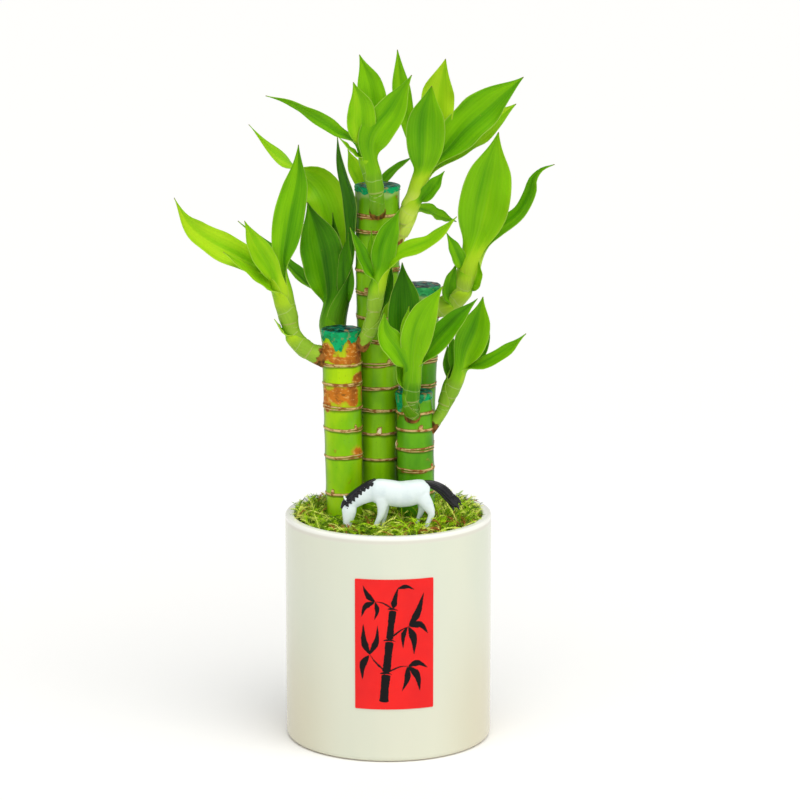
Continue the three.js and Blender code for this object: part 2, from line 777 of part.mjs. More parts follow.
const HORSE_BODIES = [
  // torso
  {
    side: 0,
    stations: [
      [-8.5, 116.3, 2.6, 1.9],
      [-5.5, 116.2, 5.2, 3.3],
      [-0.5, 115.7, 5.6, 4],
      [5, 114.8, 5.7, 4.2],
      [10, 115.4, 5.6, 4.2],
      [14.5, 116.6, 4.7, 3.9],
      [17.8, 116.2, 2.8, 2.3],
    ],
  },
  // neck
  {
    side: 0,
    stations: [
      [-3, 117.2, 4.4, 2.4],
      [-8, 115.8, 4.5, 2.3],
      [-13, 113, 3.6, 1.9],
      [-17, 110, 2.8, 1.6],
    ],
  },
  // head
  {
    side: 0,
    stations: [
      [-16.2, 112, 2, 1.5],
      [-16.6, 108.3, 3.2, 2.1],
      [-16.9, 105.2, 2.8, 1.9],
      [-17.4, 102.6, 2.1, 1.7],
      [-17.6, 100.4, 1.8, 1.6],
      [-17.5, 99.2, 1.2, 1.2],
    ],
  },
  // mane
  {
    side: 0,
    stations: [
      [-6, 121, 0.8, 0.8],
      [-9.5, 118.9, 1.4, 1.6],
      [-13, 116.3, 1.5, 1.7],
      [-17, 113.1, 1.6, 1.6],
      [-19.6, 109.8, 0.8, 0.9],
    ],
  },
  // tail
  {
    side: 0,
    stations: [
      [15.4, 119.6, 1.6, 1.3],
      [19, 118.9, 1.9, 1.6],
      [23.6, 116.3, 2.4, 1.7],
      [26.6, 112.9, 2.4, 1.6],
      [28.9, 109.6, 1.4, 1.1],
      [30.4, 107.9, 0.5, 0.5],
    ],
  },
  // front legs, near and far
  {
    side: -2,
    stations: [
      [-2.6, 113.5, 3.2, 1.7],
      [-2.6, 109, 2.1, 1.4],
      [-3.4, 105.4, 1.5, 1.2],
      [-5, 102, 1.1, 1],
      [-5.6, HORSE.hoofZ, 1.3, 1.2],
    ],
  },
  {
    side: 2,
    stations: [
      [-1.6, 113.5, 3, 1.6],
      [-1.2, 109, 1.9, 1.4],
      [-1.6, 105, 1.3, 1.1],
      [-2.2, 101.5, 1, 0.9],
      [-2.4, HORSE.hoofZ, 1.3, 1.1],
    ],
  },
  // hind legs, far and near
  {
    side: 2,
    stations: [
      [13.8, 114, 3.2, 1.8],
      [14.6, 109.4, 2, 1.4],
      [13.9, 106, 1.3, 1.1],
      [12.6, 102.4, 1, 0.9],
      [12.3, HORSE.hoofZ, 1.3, 1.1],
    ],
  },
  {
    side: -2,
    stations: [
      [15.6, 114.5, 3.8, 2],
      [17.3, 110.3, 2.6, 1.6],
      [18.6, 106.4, 1.5, 1.2],
      [17, 102.6, 1.1, 1],
      [16.3, HORSE.hoofZ, 1.3, 1.2],
    ],
  },
  // ears
  {
    side: -1,
    stations: [
      [-17.4, 112, 0.9, 0.7],
      [-19.2, 114.2, 0.4, 0.3],
    ],
  },
  {
    side: 1,
    stations: [
      [-17.4, 112, 0.9, 0.7],
      [-19.2, 114.2, 0.4, 0.3],
    ],
  },
];

// The horse stands along X with its own middle at y 0.
function horseGeometry() {
  const bodies = HORSE_BODIES.map(({ side, stations }) =>
    ovalBody(stations, side, side === 0 ? HORSE.sides : HORSE.limbSides),
  );
  return geometryFrom(bodies.reduce((all, body) => all.add(body)));
}

// Moss

// A repeatable sequence of numbers from 0 to 1.
function seeded(seed) {
  let state = seed;
  return () => {
    state = (state * 1664525 + 1013904223) % 4294967296;
    return state / 4294967296;
  };
}

function mossTop(x, y) {
  const [centreX, centreY] = MOSS.moundCentre;
  const distance = Math.hypot(x - centreX, y - centreY) / MOSS.moundSpread;
  const bumps = Math.sin(x * 0.9 + 1.3 * Math.sin(y * 0.6)) * Math.cos(y * 0.8 + 0.7 * Math.sin(x * 0.5));
  return MOSS.edge + MOSS.moundHeight * Math.exp(-distance * distance) + MOSS.roughness * bumps;
}

function mossBed() {
  const edgeRadius = potInnerRadius(MOSS.edge) - GAP;
  const circles = Array.from({ length: MOSS.circles }, (_, i) => [
    edgeRadius * (1 - i / MOSS.circles),
    MOSS.edge,
  ]);
  const profile = [[0, MOSS.under], [edgeRadius, MOSS.under], ...circles, [0, MOSS.edge]];
  const bed = turned(profile, MOSS.sides);
  const position = bed.attributes.position;
  for (let i = 0; i < position.count; i++) {
    if (position.getZ(i) > MOSS.under + GAP) position.setZ(i, mossTop(position.getX(i), position.getY(i)));
  }
  return solidFrom(bed);
}

// A three-sided strand that rises from inside the bed, bends over and thins out.
function mossStrand(x, y, heading, length, rise) {
  const { strandRadius, strandRootDepth } = MOSS;
  const root = new THREE.Vector3(x, y, mossTop(x, y) - strandRootDepth);
  const out = new THREE.Vector3(Math.cos(heading), Math.sin(heading), 0);
  const bend = root.clone().addScaledVector(out, length * 0.45);
  bend.z += rise;
  const end = root.clone().addScaledVector(out, length);
  end.z += rise * 0.8;
  const sideways = new THREE.Vector3(-out.y, out.x, 0);
  const ring = (centre, radius) =>
    [90, 210, 330].map((degrees) => {
      const angle = THREE.MathUtils.degToRad(degrees);
      return centre
        .clone()
        .addScaledVector(sideways, radius * Math.cos(angle))
        .add(new THREE.Vector3(0, 0, radius * Math.sin(angle)));
    });
  const rings = [ring(root, strandRadius), ring(bend, strandRadius * 0.8), ring(end, strandRadius * 0.35)];
  return solidFrom(loft(rings));
}

// What lies outside the moss's own radius up to the lip, as a ring that strands are trimmed by.
function lipRoom() {
  const inner = potInnerRadius(MOSS.edge) - MOSS.lipClearance;
  const outer = POT.rimRadius * 2;
  const bottom = SOIL.top;
  const top = POT.height + GAP;
  const profile = [[inner, bottom], [outer, bottom], [outer, top], [inner, top], [inner, bottom]];
  return solidFrom(turned(profile, POT.sides));
}

function footRoom([x, side]) {
  const { footRoom: radius, footRoomHeight, footRoomSides } = HORSE;
  const room = new THREE.CylinderGeometry(radius, radius, footRoomHeight, footRoomSides);
  room.rotateX(Math.PI / 2);
  room.translate(x, HORSE.y + side, HORSE.hoofZ - GAP + footRoomHeight / 2);
  return solidFrom(room);
}

function mossGeometry() {
  let solid = mossBed();
  const random = seeded(MOSS.seed);
  const reach = potInnerRadius(MOSS.edge) - POT.lipRound;
  for (let i = 0; i < MOSS.strands; i++) {
    const radius = reach * Math.sqrt(random());
    const bearing = 2 * Math.PI * random();
    const heading = 2 * Math.PI * random();
    const strand = mossStrand(
      radius * Math.cos(bearing),
      radius * Math.sin(bearing),
      heading,
      THREE.MathUtils.lerp(...MOSS.strandLength, random()),
      THREE.MathUtils.lerp(...MOSS.strandRise, random()),
    );
    solid = solid.add(strand);
  }
  for (const stalk of Object.values(STALKS)) solid = solid.subtract(stalkHole(stalk));
  solid = solid.subtract(lipRoom());
  for (const place of HORSE.standsAt) solid = solid.subtract(footRoom(place));
  return geometryFrom(biggestBody(solid));
}

// The assembly

function piece(name, geometry, finish) {
  const mesh = new THREE.Mesh(geometry, new THREE.MeshStandardMaterial({ ...finish, metalness: 0 }));
  mesh.name = name;
  return mesh;
}

const planter = new THREE.Group();
planter.name = "planter";
planter.add(
  piece("pot", potGeometry(), FINISHES.glaze),
  piece("soil", soilGeometry(), FINISHES.soil),
  piece("label", labelGeometry(), FINISHES.label),
  piece("moss", mossGeometry(), FINISHES.moss),
);

const stalks = new THREE.Group();
stalks.name = "stalks";
for (const [name, stalk] of Object.entries(STALKS)) {
  stalks.add(
    piece("stalk_" + name, stalkGeometry(stalk), FINISHES.stalk),
    piece("wax_" + name, waxGeometry(stalk), FINISHES.wax),
  );
}

const shoots = new THREE.Group();
shoots.name = "shoots";
for (const [name, shoot] of Object.entries(SHOOTS)) {
  shoots.add(piece(name, shootGeometry(shoot), shoot.finish ?? FINISHES.leaf));
}

const horse = piece("horse", horseGeometry(), FINISHES.horse);
horse.position.y = HORSE.y;

const plant = new THREE.Group();
plant.name = "lucky_bamboo";
plant.add(planter, stalks, shoots, horse);

export default plant;
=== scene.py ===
"""Looks of a lucky bamboo that stands in a glazed cylinder pot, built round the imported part.

Every length is in millimetres until it becomes a mesh, which is in metres. +Z is up, the pot's front
faces -Y, and the origin is the centre of the pot's underside, as in the part.
"""

from __future__ import annotations

import logging
import math
import random
from dataclasses import dataclass
from enum import Enum
from typing import Callable, Mapping, Sequence

import bmesh
import bpy
from mathutils import Matrix, Quaternion, Vector, noise


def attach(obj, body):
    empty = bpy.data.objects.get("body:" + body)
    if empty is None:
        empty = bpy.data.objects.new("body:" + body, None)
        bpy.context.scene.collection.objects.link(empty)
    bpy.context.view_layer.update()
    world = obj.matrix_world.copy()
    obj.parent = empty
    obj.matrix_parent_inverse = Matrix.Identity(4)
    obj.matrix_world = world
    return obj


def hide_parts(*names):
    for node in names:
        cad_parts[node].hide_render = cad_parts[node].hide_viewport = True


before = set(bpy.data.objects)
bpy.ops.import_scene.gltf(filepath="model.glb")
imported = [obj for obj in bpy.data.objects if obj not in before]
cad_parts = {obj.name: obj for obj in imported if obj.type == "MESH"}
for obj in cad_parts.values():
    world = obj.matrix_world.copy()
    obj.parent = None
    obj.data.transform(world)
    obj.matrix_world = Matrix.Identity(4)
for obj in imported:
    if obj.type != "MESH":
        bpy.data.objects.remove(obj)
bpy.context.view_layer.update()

LOG = logging.getLogger("lucky_bamboo")
MM = 0.001
TURN = 2 * math.pi
BODY = "root"
TO_FRONT = (0, -1, 0.15)

Point = Sequence[float]
Source = object  # a value, a socket, a number or a colour


# Small tools


def clamp(value: float, low: float = 0.0, high: float = 1.0) -> float:
    """Keeps a value between two limits."""
    return max(low, min(high, value))


def lerp(start: float, end: float, share: float) -> float:
    """Goes a share of the way from one value to another."""
    return start + (end - start) * share


def smooth(value: float, low: float, high: float) -> float:
    """Rises smoothly from 0 at the low value to 1 at the high one."""
    share = clamp((value - low) / (high - low))
    return share * share * (3 - 2 * share)


def bell(distance: float, width: float) -> float:
    """A bump that is 1 at distance 0 and fades over the width."""
    return math.exp(-((distance / width) ** 2))


def gathered(spots: Sequence[Sequence[float]], x: float, y: float) -> float:
    """Adds up the bells over a place. Each spot gives a bell's height, its x and y, and its width."""
    return sum(height * bell(math.hypot(x - spot_x, y - spot_y), width) for height, spot_x, spot_y, width in spots)


def paint(red: int, green: int, blue: int) -> tuple[float, float, float, float]:
    """Turns screen colour numbers, 0 to 255, into a linear colour."""
    return tuple(((c / 255 + 0.055) / 1.055) ** 2.4 if c > 10 else c / 3294 for c in (red, green, blue)) + (1.0,)


def rough(x: float, y: float, z: float = 0.0) -> float:
    """Smooth repeatable noise, about -1 to 1."""
    return noise.noise(Vector((x, y, z)))


def rough_round(angle: float, fine: float, third: float) -> float:
    """The same noise round a circle, where it meets itself."""
    return rough(math.cos(angle) * fine, math.sin(angle) * fine, third)


def outwards(angle: float) -> Vector:
    """The level direction at an angle from the front, to the right."""
    return Vector((math.sin(angle), -math.cos(angle), 0))


def apart(degrees: float, other: float) -> float:
    """The turn from one direction to another, -180 to 180 degrees."""
    return (degrees - other + 180) % 360 - 180


def through(values: Sequence[float], place: float) -> float:
    """Reads numbers as one smooth curve.

    Args:
        values: the curve's values at 0, 1, 2 and so on.
        place: where it is read.

    Returns:
        The value there.
    """
    i = min(max(int(place), 0), len(values) - 2)
    w = place - i
    v1, v2 = values[i], values[i + 1]
    v0 = values[i - 1] if i > 0 else v1
    v3 = values[i + 2] if i + 2 < len(values) else v2
    bend = (3 * v1 - 3 * v2 + v3 - v0) * w + 2 * v0 - 5 * v1 + 4 * v2 - v3
    return v1 + 0.5 * w * (v2 - v0 + w * bend)


def on_curve(knots: list[Vector], place: float) -> Vector:
    """Finds a point of the centripetal curve that the part's own leaves and stems follow.

    Args:
        knots: the points that the curve passes through.
        place: knot number, with a fraction between knots.

    Returns:
        The point.
    """
    i = min(int(place), len(knots) - 2)
    w = place - i
    p1, p2 = knots[i], knots[i + 1]
    p0 = knots[i - 1] if i > 0 else p1 * 2 - p2
    p3 = knots[i + 2] if i + 2 < len(knots) else p2 * 2 - p1
    d0, d1, d2 = ((b - a).length ** 0.5 for a, b in ((p0, p1), (p1, p2), (p2, p3)))
    t1 = ((p1 - p0) / d0 - (p2 - p0) / (d0 + d1) + (p2 - p1) / d1) * d1
    t2 = ((p2 - p1) / d1 - (p3 - p1) / (d1 + d2) + (p3 - p2) / d2) * d1
    return p1 + t1 * w + (p2 * 3 - p1 * 3 - t1 * 2 - t2) * w**2 + (p1 * 2 - p2 * 2 + t1 + t2) * w**3


class SmoothLine:
    """A smooth line through points, read by share of its length."""

    SAMPLES = 240

    def __init__(self, points: Sequence[Point]) -> None:
        """Samples the curve.

        Args:
            points: what the line passes through, in millimetres.
        """
        knots = [Vector(p) for p in points]
        self.places = [on_curve(knots, (len(knots) - 1) * i / self.SAMPLES) for i in range(self.SAMPLES + 1)]
        self.lengths = [0.0]
        for before, after in zip(self.places, self.places[1:]):
            self.lengths.append(self.lengths[-1] + (after - before).length)

    @property
    def length(self) -> float:
        """The line's whole length."""
        return self.lengths[-1]

    def at(self, share: float) -> tuple[Vector, Vector]:
        """Reads the line.

        Args:
            share: 0 at the start, 1 at the end.

        Returns:
            The point there and the unit direction.
        """
        wanted = clamp(share) * self.length
        low, high = 0, self.SAMPLES
        while high - low > 1:
            middle = (low + high) // 2
            low, high = (middle, high) if self.lengths[middle] <= wanted else (low, middle)
        part = (wanted - self.lengths[low]) / (self.lengths[high] - self.lengths[low])
        ahead, behind = min(high + 1, self.SAMPLES), max(low - 1, 0)
        along = (self.places[ahead] - self.places[behind]).normalized()
        return self.places[low].lerp(self.places[high], part), along

    def tube(self, rows: int, side: Vector, end: float = 1.0) -> Callable[[int, float, float], Vector]:
        """Lays frames along the line that don't twist about it.

        Args:
            rows: steps along it.
            side: the first frame's sideways direction.
            end: the share of the line where they end.

        Returns:
            What gives the point beside the line for a row, an angle and a reach.
        """
        frames = []
        for i in range(rows + 1):
            centre, along = self.at(end * i / rows)
            side = (side - along * side.dot(along)).normalized()
            frames.append((centre, side, along.cross(side)))

        def spot(row: int, angle: float, reach: float) -> Vector:
            """Finds a place on the skin.

            Args:
                row: which of the line's frames.
                angle: where round the line.
                reach: distance from the line.

            Returns:
                The place.
            """
            centre, normal, binormal = frames[row]
            return centre + (normal * math.cos(angle) + binormal * math.sin(angle)) * reach

        return spot


# Modelling with Blender's own tools


def pick(*objects: bpy.types.Object) -> bpy.types.Object:
    """Selects these objects alone and makes the first one active.

    Args:
        objects: what to select.

    Returns:
        The active object.
    """
    bpy.ops.object.select_all(action="DESELECT")
    for obj in objects:
        obj.select_set(True)
    bpy.context.view_layer.objects.active = objects[0]
    return objects[0]


def add(kind: str, name: str, **settings: object) -> bpy.types.Object:
    """Adds a primitive, with nothing else selected.

    Args:
        kind: the primitive's name in Blender.
        name: the object's name.
        settings: its size and place.

    Returns:
        The object.
    """
    bpy.ops.object.select_all(action="DESELECT")
    getattr(bpy.ops.mesh, "primitive_%s_add" % kind)(**settings)
    obj = bpy.context.active_object
    obj.name = obj.data.name = name
    return obj


def bent_grid(
    name: str,
    columns: int,
    rows: int,
    place: Callable[[float, float], Vector],
    marks: Mapping[str, Callable[[float, float], float]] | None = None,
) -> bpy.types.Object:
    """Adds a flat grid, moves its points on to a surface and marks them.

    Args:
        name: the object's name.
        columns: faces from side to side.
        rows: faces from start to end.
        place: gives the point, in millimetres, for side and share, each 0 to 1.
        marks: values to keep on the points, by name.

    Returns:
        The grid.
    """
    obj = add("grid", name, x_subdivisions=columns, y_subdivisions=rows, size=1.0, calc_uvs=True)
    spots = [(v.co.x + 0.5, v.co.y + 0.5) for v in obj.data.vertices]
    for mark, value in (marks or {}).items():
        mark_points(obj, mark, [value(side, share) for side, share in spots])
    for vertex, (side, share) in zip(obj.data.vertices, spots):
        vertex.co = place(side, share) * MM
    return obj


def mark_points(obj: bpy.types.Object, name: str, values: Sequence[float] | float) -> None:
    """Keeps a value on each point of a piece, or the same one on all of them."""
    mark = obj.data.attributes.get(name) or obj.data.attributes.new(name, "FLOAT", "POINT")
    mark.data.foreach_set("value", values if isinstance(values, list) else [values] * len(obj.data.vertices))


def close(obj: bpy.types.Object, ends: bool = True) -> bpy.types.Object:
    """Joins the seam of a rolled grid and closes its ends.

    Args:
        obj: the rolled grid.
        ends: whether the open ends get a face.

    Returns:
        The closed shape, with its faces pointing out.
    """
    pick(obj)
    bpy.ops.object.mode_set(mode="EDIT")
    bpy.ops.mesh.select_all(action="SELECT")
    bpy.ops.mesh.remove_doubles(threshold=1e-6)
    if ends:
        bpy.ops.mesh.fill_holes(sides=0)
    face_out()
    return obj


def face_out() -> None:
    """Turns all faces of the edited mesh outwards and leaves edit mode."""
    bpy.ops.mesh.select_all(action="SELECT")
    bpy.ops.mesh.normals_make_consistent(inside=False)
    bpy.ops.object.mode_set(mode="OBJECT")


def apply_modifier(obj: bpy.types.Object, kind: str, **settings: object) -> bpy.types.Object:
    """Adds a modifier, sets it and applies it.

    Args:
        obj: the object to change.
        kind: the modifier's type.
        settings: its properties.

    Returns:
        The object.
    """
    pick(obj)
    bpy.ops.object.modifier_add(type=kind)
    modifier = obj.modifiers[-1]
    for name, value in settings.items():
        setattr(modifier, name, value)
    bpy.ops.object.modifier_apply(modifier=modifier.name)
    return obj


def join(name: str, objects: Sequence[bpy.types.Object]) -> bpy.types.Object:
    """Joins objects into one.

    Args:
        name: the joined object's name.
        objects: what to join.

    Returns:
        The joined object.
    """
    obj = pick(*objects)
    if len(objects) > 1:
        bpy.ops.object.join()
    obj.name = obj.data.name = name
    return obj


def settle(obj: bpy.types.Object) -> bpy.types.Object:
    """Puts a piece's place into its mesh, so that the object sits at the origin.

    Args:
        obj: the piece.

    Returns:
        The piece.
    """
    pick(obj)
    bpy.ops.object.transform_apply(location=True, rotation=True, scale=True)
    return obj


def shade(obj: bpy.types.Object, degrees: float = 40.0) -> bpy.types.Object:
    """Shades a piece smooth, apart from its corners.

    Args:
        obj: the piece.
        degrees: how sharp an edge counts as a corner.

    Returns:
        The piece.
    """
    pick(obj)
    bpy.ops.object.shade_smooth_by_angle(angle=math.radians(degrees))
    return obj


def choose(obj: bpy.types.Object, kind: str, wanted: Callable[[Vector], bool]) -> None:
    """Selects faces or edges in edit mode by their corners.

    Args:
        obj: the object that is being edited.
        kind: FACE or EDGE.
        wanted: says whether a corner is chosen, and all of them have to be.
    """
    bpy.ops.mesh.select_mode(type=kind)
    bpy.ops.mesh.select_all(action="DESELECT")
    mesh = bmesh.from_edit_mesh(obj.data)
    for element in mesh.faces if kind == "FACE" else mesh.edges:
        element.select_set(all(wanted(vertex.co / MM) for vertex in element.verts))
    bmesh.update_edit_mesh(obj.data)


def hand_in(obj: bpy.types.Object, finish: Finish, slot: Slot, *nodes: str) -> None:
    """Dresses a finished piece and puts it in the place of the part's nodes.

    Args:
        obj: the piece.
        finish: its material.
        slot: the record's material slot; not used.
        nodes: the part's nodes that it stands for.
    """
    obj.data.materials.clear()
    obj.data.materials.append(finish.material())
    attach(obj, BODY)
    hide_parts(*nodes)
    LOG.info("%s: %d faces, for %s", obj.name, len(obj.data.polygons), ", ".join(nodes))


# Finishes


@dataclass(frozen=True)
class Value:
    """A node's output, which arithmetic can be written with."""

    recipe: Recipe
    socket: bpy.types.NodeSocket

    def math(self, operation: str, other: Source = 0.0) -> Value:
        """One arithmetic step, by Blender's name for it."""
        made = self.recipe.node("Math", {0: self, 1: other}, operation=operation)
        return Value(self.recipe, made.outputs[0])

    def __add__(self, other: Source) -> Value:
        """The sum."""
        return self.math("ADD", other)

    def __sub__(self, other: Source) -> Value:
        """The difference."""
        return self.math("SUBTRACT", other)

    def __mul__(self, other: Source) -> Value:
        """The product."""
        return self.math("MULTIPLY", other)

    def __abs__(self) -> Value:
        """The value without its sign."""
        return self.math("ABSOLUTE")


class Recipe:
    """One material's nodes. Its colour is laid on coat by coat, and colours are screen numbers, 0 to 255."""

    def __init__(self, name: str, colour: Source) -> None:
        """Starts a material with one Principled shader.

        Args:
            name: the material's name.
            colour: its first coat.
        """
        self.made = bpy.data.materials.new(name)
        self.made.use_nodes = True
        self.tree = self.made.node_tree
        self.tree.nodes.clear()
        self.colour = colour
        self.shader = self.node("BsdfPrincipled", {})
        self.output = self.node("OutputMaterial", {"Surface": self.shader.outputs["BSDF"]})

    def feed(self, socket: bpy.types.NodeSocket, source: Source) -> None:
        """Links a socket to a socket, or sets its own value.

        Args:
            socket: what is fed.
            source: a value, socket, number or colour.
        """
        source = getattr(source, "socket", source)
        if isinstance(source, bpy.types.NodeSocket):
            self.tree.links.new(source, socket)
        elif socket.type == "RGBA" and len(source) == 3:
            socket.default_value = paint(*source)
        else:
            socket.default_value = source

    def node(self, kind: str, inputs: Mapping[str | int, Source], **settings: object) -> bpy.types.Node:
        """Adds a node.

        Args:
            kind: its type, without ShaderNode.
            inputs: what its inputs are fed, by name or number.
            settings: its properties.

        Returns:
            The node.
        """
        made = self.tree.nodes.new("ShaderNode" + kind)
        for name, value in settings.items():
            setattr(made, name, value)
        for name, source in inputs.items():
            self.feed(made.inputs[name], source)
        return made

    def set(self, **values: Source) -> None:
        """Feeds the shader's inputs, with _ for a space in their names."""
        for name, value in values.items():
            self.feed(self.shader.inputs[name.replace("_", " ")], value)

    def place(self, *stretch: float) -> bpy.types.NodeSocket:
        """The point on the piece, in metres times the stretch."""
        spot = self.node("TexCoord", {}).outputs["Object"]
        return self.node("Mapping", {"Vector": spot, "Scale": stretch or (1, 1, 1)}).outputs["Vector"]

    def along(self, *stretch: float) -> bpy.types.NodeSocket:
        """The point on the piece's own UV map times the stretch."""
        spot = self.node("UVMap", {}, uv_map="UVMap").outputs["UV"]
        return self.node("Mapping", {"Vector": spot, "Scale": stretch}).outputs["Vector"]

    def parts(self, vector: Source) -> list[Value]:
        """Splits a vector into x, y and z."""
        return [Value(self, part) for part in self.node("SeparateXYZ", {"Vector": vector}).outputs]

    def noise(self, scale: float, detail: float, where: Source = None, seed: Source = 0.0) -> Value:
        """Soft noise, 0 to 1.

        Args:
            scale: how fine it is.
            detail: how many finer layers it has.
            where: where it is read, or None for the point on the piece.
            seed: moves it to another place.

        Returns:
            The noise.
        """
        inputs = {"Vector": where or self.place(), "W": seed, "Scale": scale, "Detail": detail}
        return Value(self, self.node("TexNoise", inputs, noise_dimensions="4D").outputs["Fac"])

    def cells(self, scale: float, where: Source = None) -> Value:
        """Distance to the nearest of scattered spots."""
        made = self.node("TexVoronoi", {"Vector": where or self.place(), "Scale": scale})
        return Value(self, made.outputs["Distance"])

    def mark(self, name: str) -> Value:
        """A value that the piece's points carry."""
        return Value(self, self.node("Attribute", {}, attribute_name=name).outputs["Fac"])

    def band(self, value: Source, low: float, high: float, top: float = 1.0) -> Value:
        """Rises smoothly from 0 at low to top at high, or falls where low is above high.

        Args:
            value: what is read.
            low: where it is 0.
            high: where it reaches the top.
            top: the highest value.

        Returns:
            The result.
        """
        start, end = (top, 0.0) if low > high else (0.0, top)
        ends = {"From Min": min(low, high), "From Max": max(low, high), "To Min": start, "To Max": end}
        made = self.node("MapRange", {"Value": value, **ends}, interpolation_type="SMOOTHSTEP")
        return Value(self, made.outputs["Result"])

    def blend(self, share: Source, first: Source, second: Source) -> Value:
        """Mixes two colours.

        Args:
            share: how much of the second shows.
            first: the first colour.
            second: the second colour.

        Returns:
            The mixed colour.
        """
        made = self.node("Mix", {}, data_type="RGBA")
        for number, source in ((0, share), (6, first), (7, second)):
            self.feed(made.inputs[number], source)
        return Value(self, made.outputs[2])

    def fade(self, first: Source, second: Source, *band: Source) -> Value:
        """Goes from one colour to another over a band, which takes what band does."""
        return self.blend(self.band(*band), first, second)

    def coat(self, colour: Source, *band: Source) -> None:
        """Lays a colour over what is there, as far as a band shows it."""
        self.colour = self.fade(self.colour, colour, *band)

    def lay(self, colour: Source, share: Source) -> None:
        """Lays a colour over what is there, as far as the share says."""
        self.colour = self.blend(share, self.colour, colour)

    def relief(self, height: Source, depth: float) -> None:
        """Gives the shader a fine relief, as deep in millimetres as depth says where height is 1."""
        self.set(Normal=self.node("Bump", {"Distance": depth * MM, "Height": height}).outputs["Normal"])

    def shine_through(self, colour: Source, tinted: float, share: float) -> None:
        """Lets light from behind show, as a thin leaf does.

        Args:
            colour: what the light takes on besides the leaf's own colour.
            tinted: how much of it.
            share: how much of the shader the light makes up.
        """
        glow = self.node("BsdfTranslucent", {"Color": self.blend(tinted, self.colour, colour)})
        shaders = {0: share, 1: self.shader.outputs["BSDF"], 2: glow.outputs["BSDF"]}
        self.feed(self.output.inputs["Surface"], self.node("MixShader", shaders).outputs["Shader"])


@dataclass(frozen=True)
class Finish:
    """A material that is made once, when it is first used."""

    name: str = ""
    base: tuple = ()

    _made = {}

    def material(self) -> bpy.types.Material:
        """Makes the finish's material, once for every piece that wears it.

        Returns:
            The material.
        """
        if self not in Finish._made:
            recipe = Recipe(self.name, self.base)
            self.mix(recipe)
            recipe.set(Base_Color=recipe.colour)
            Finish._made[self] = recipe.made
        return Finish._made[self]

    def mix(self, r: Recipe) -> None:
        """Lays the finish's coats."""
        raise NotImplementedError


@dataclass(frozen=True)
class Glaze(Finish):
    """Ivory glaze with a green cast, thinner and paler at the lip, and a bare clay foot. Painted light: a warm
    painted shade on the sides and lower down, a painted shadow under the lip, and a painted highlight that whitens
    the lip and the inner wall.
    """

    name: str = "ivory_glaze"
    base: tuple = (222, 225, 206)
    cool: tuple = (210, 219, 202)
    pale_lip_and_highlight: tuple = (252, 252, 246)
    painted_warm_shade: tuple = (214, 206, 178)
    painted_lip_shadow: tuple = (206, 200, 186)
    clay: tuple = (222, 212, 190)
    height: float = 100.0

    def mix(self, r: Recipe) -> None:
        """Lays the finish's coats.

        Args:
            r: what the coats are laid on.
        """
        x, y, z = r.parts(r.place(1000, 1000, 1000))
        grain = r.noise(900, 2)
        r.coat(self.cool, r.noise(28, 3, r.place(1, 1, 0.25)), 0.35, 0.7, 0.6)
        r.coat(self.clay, grain, 0.62, 0.8, 0.05)
        # Painted shade: warm grey laid towards the bottom, most at the pot's left and right edges.
        r.lay(self.painted_warm_shade, r.band(z, 74, 12) * (r.band(abs(x), 18, 44, 0.7) + 0.12))
        # The lip: paler where the glaze thins, and whitened further by a painted highlight.
        r.coat(self.pale_lip_and_highlight, z, self.height - 4, self.height - 0.5, 0.8)
        # Painted highlight: the inner wall whitened where the moss and stalks shade it.
        r.coat(self.pale_lip_and_highlight, (x * x + y * y).math("SQRT"), 43.8, 42.6)
        # Painted shadow: a grey line just under the lip.
        r.lay(self.painted_lip_shadow, r.band(z, 96.2, 97.6) * r.band(z, 98.9, 97.9, 0.5))
        foot = r.band(z, 0.9, 0.4)
        r.lay(self.clay, foot)
        r.relief(r.noise(45, 2, r.place(1, 1, 0.5)) + grain * 0.03, 0.35)
        r.set(Roughness=foot * 0.5 + 0.16, Coat_Weight=0.2, Coat_Roughness=0.08, Specular_IOR_Level=0.4)


@dataclass(frozen=True)
class PottingSoil(Finish):
    """Dark crumbs with some bark."""

    name: str = "potting_soil"
    base: tuple = (30, 22, 15)

    def mix(self, r: Recipe) -> None:
        """Lays the finish's coats.

        Args:
            r: what the coats are laid on.
        """
        crumbs = r.cells(420)
        r.coat((78, 58, 38), crumbs, 0.2, 0.8)
        r.coat((112, 78, 46), r.noise(160, 4), 0.6, 0.7)
        r.relief(crumbs, 1.2)
        r.set(Roughness=0.95)


@dataclass(frozen=True)
class RedLabel(Finish):
    """Glossy red printed film."""

    name: str = "red_label"
    base: tuple = (244, 16, 10)

    def mix(self, r: Recipe) -> None:
        """Lays the finish's coats.

        Args:
            r: what the coats are laid on.
        """
        r.coat((228, 8, 10), r.noise(60, 3), 0.3, 0.75)
        r.relief(r.noise(70, 2), 0.12)
        fibre = r.noise(1500, 2) * 0.1
        r.set(Roughness=fibre + 0.2, Specular_IOR_Level=0.25, Coat_Weight=0.15, Coat_Roughness=0.08)


@dataclass(frozen=True)
class BrushInk(Finish):
    """Black brush ink, with dry streaks along a stroke."""

    name: str = "brush_ink"
    base: tuple = (14, 12, 14)

    def mix(self, r: Recipe) -> None:
        """Lays the finish's coats."""
        r.coat((70, 22, 20), r.noise(1, 3, r.along(26, 1.5, 1)), 0.62, 0.75, 0.5)
        r.set(Roughness=0.45, Specular_IOR_Level=0.15)


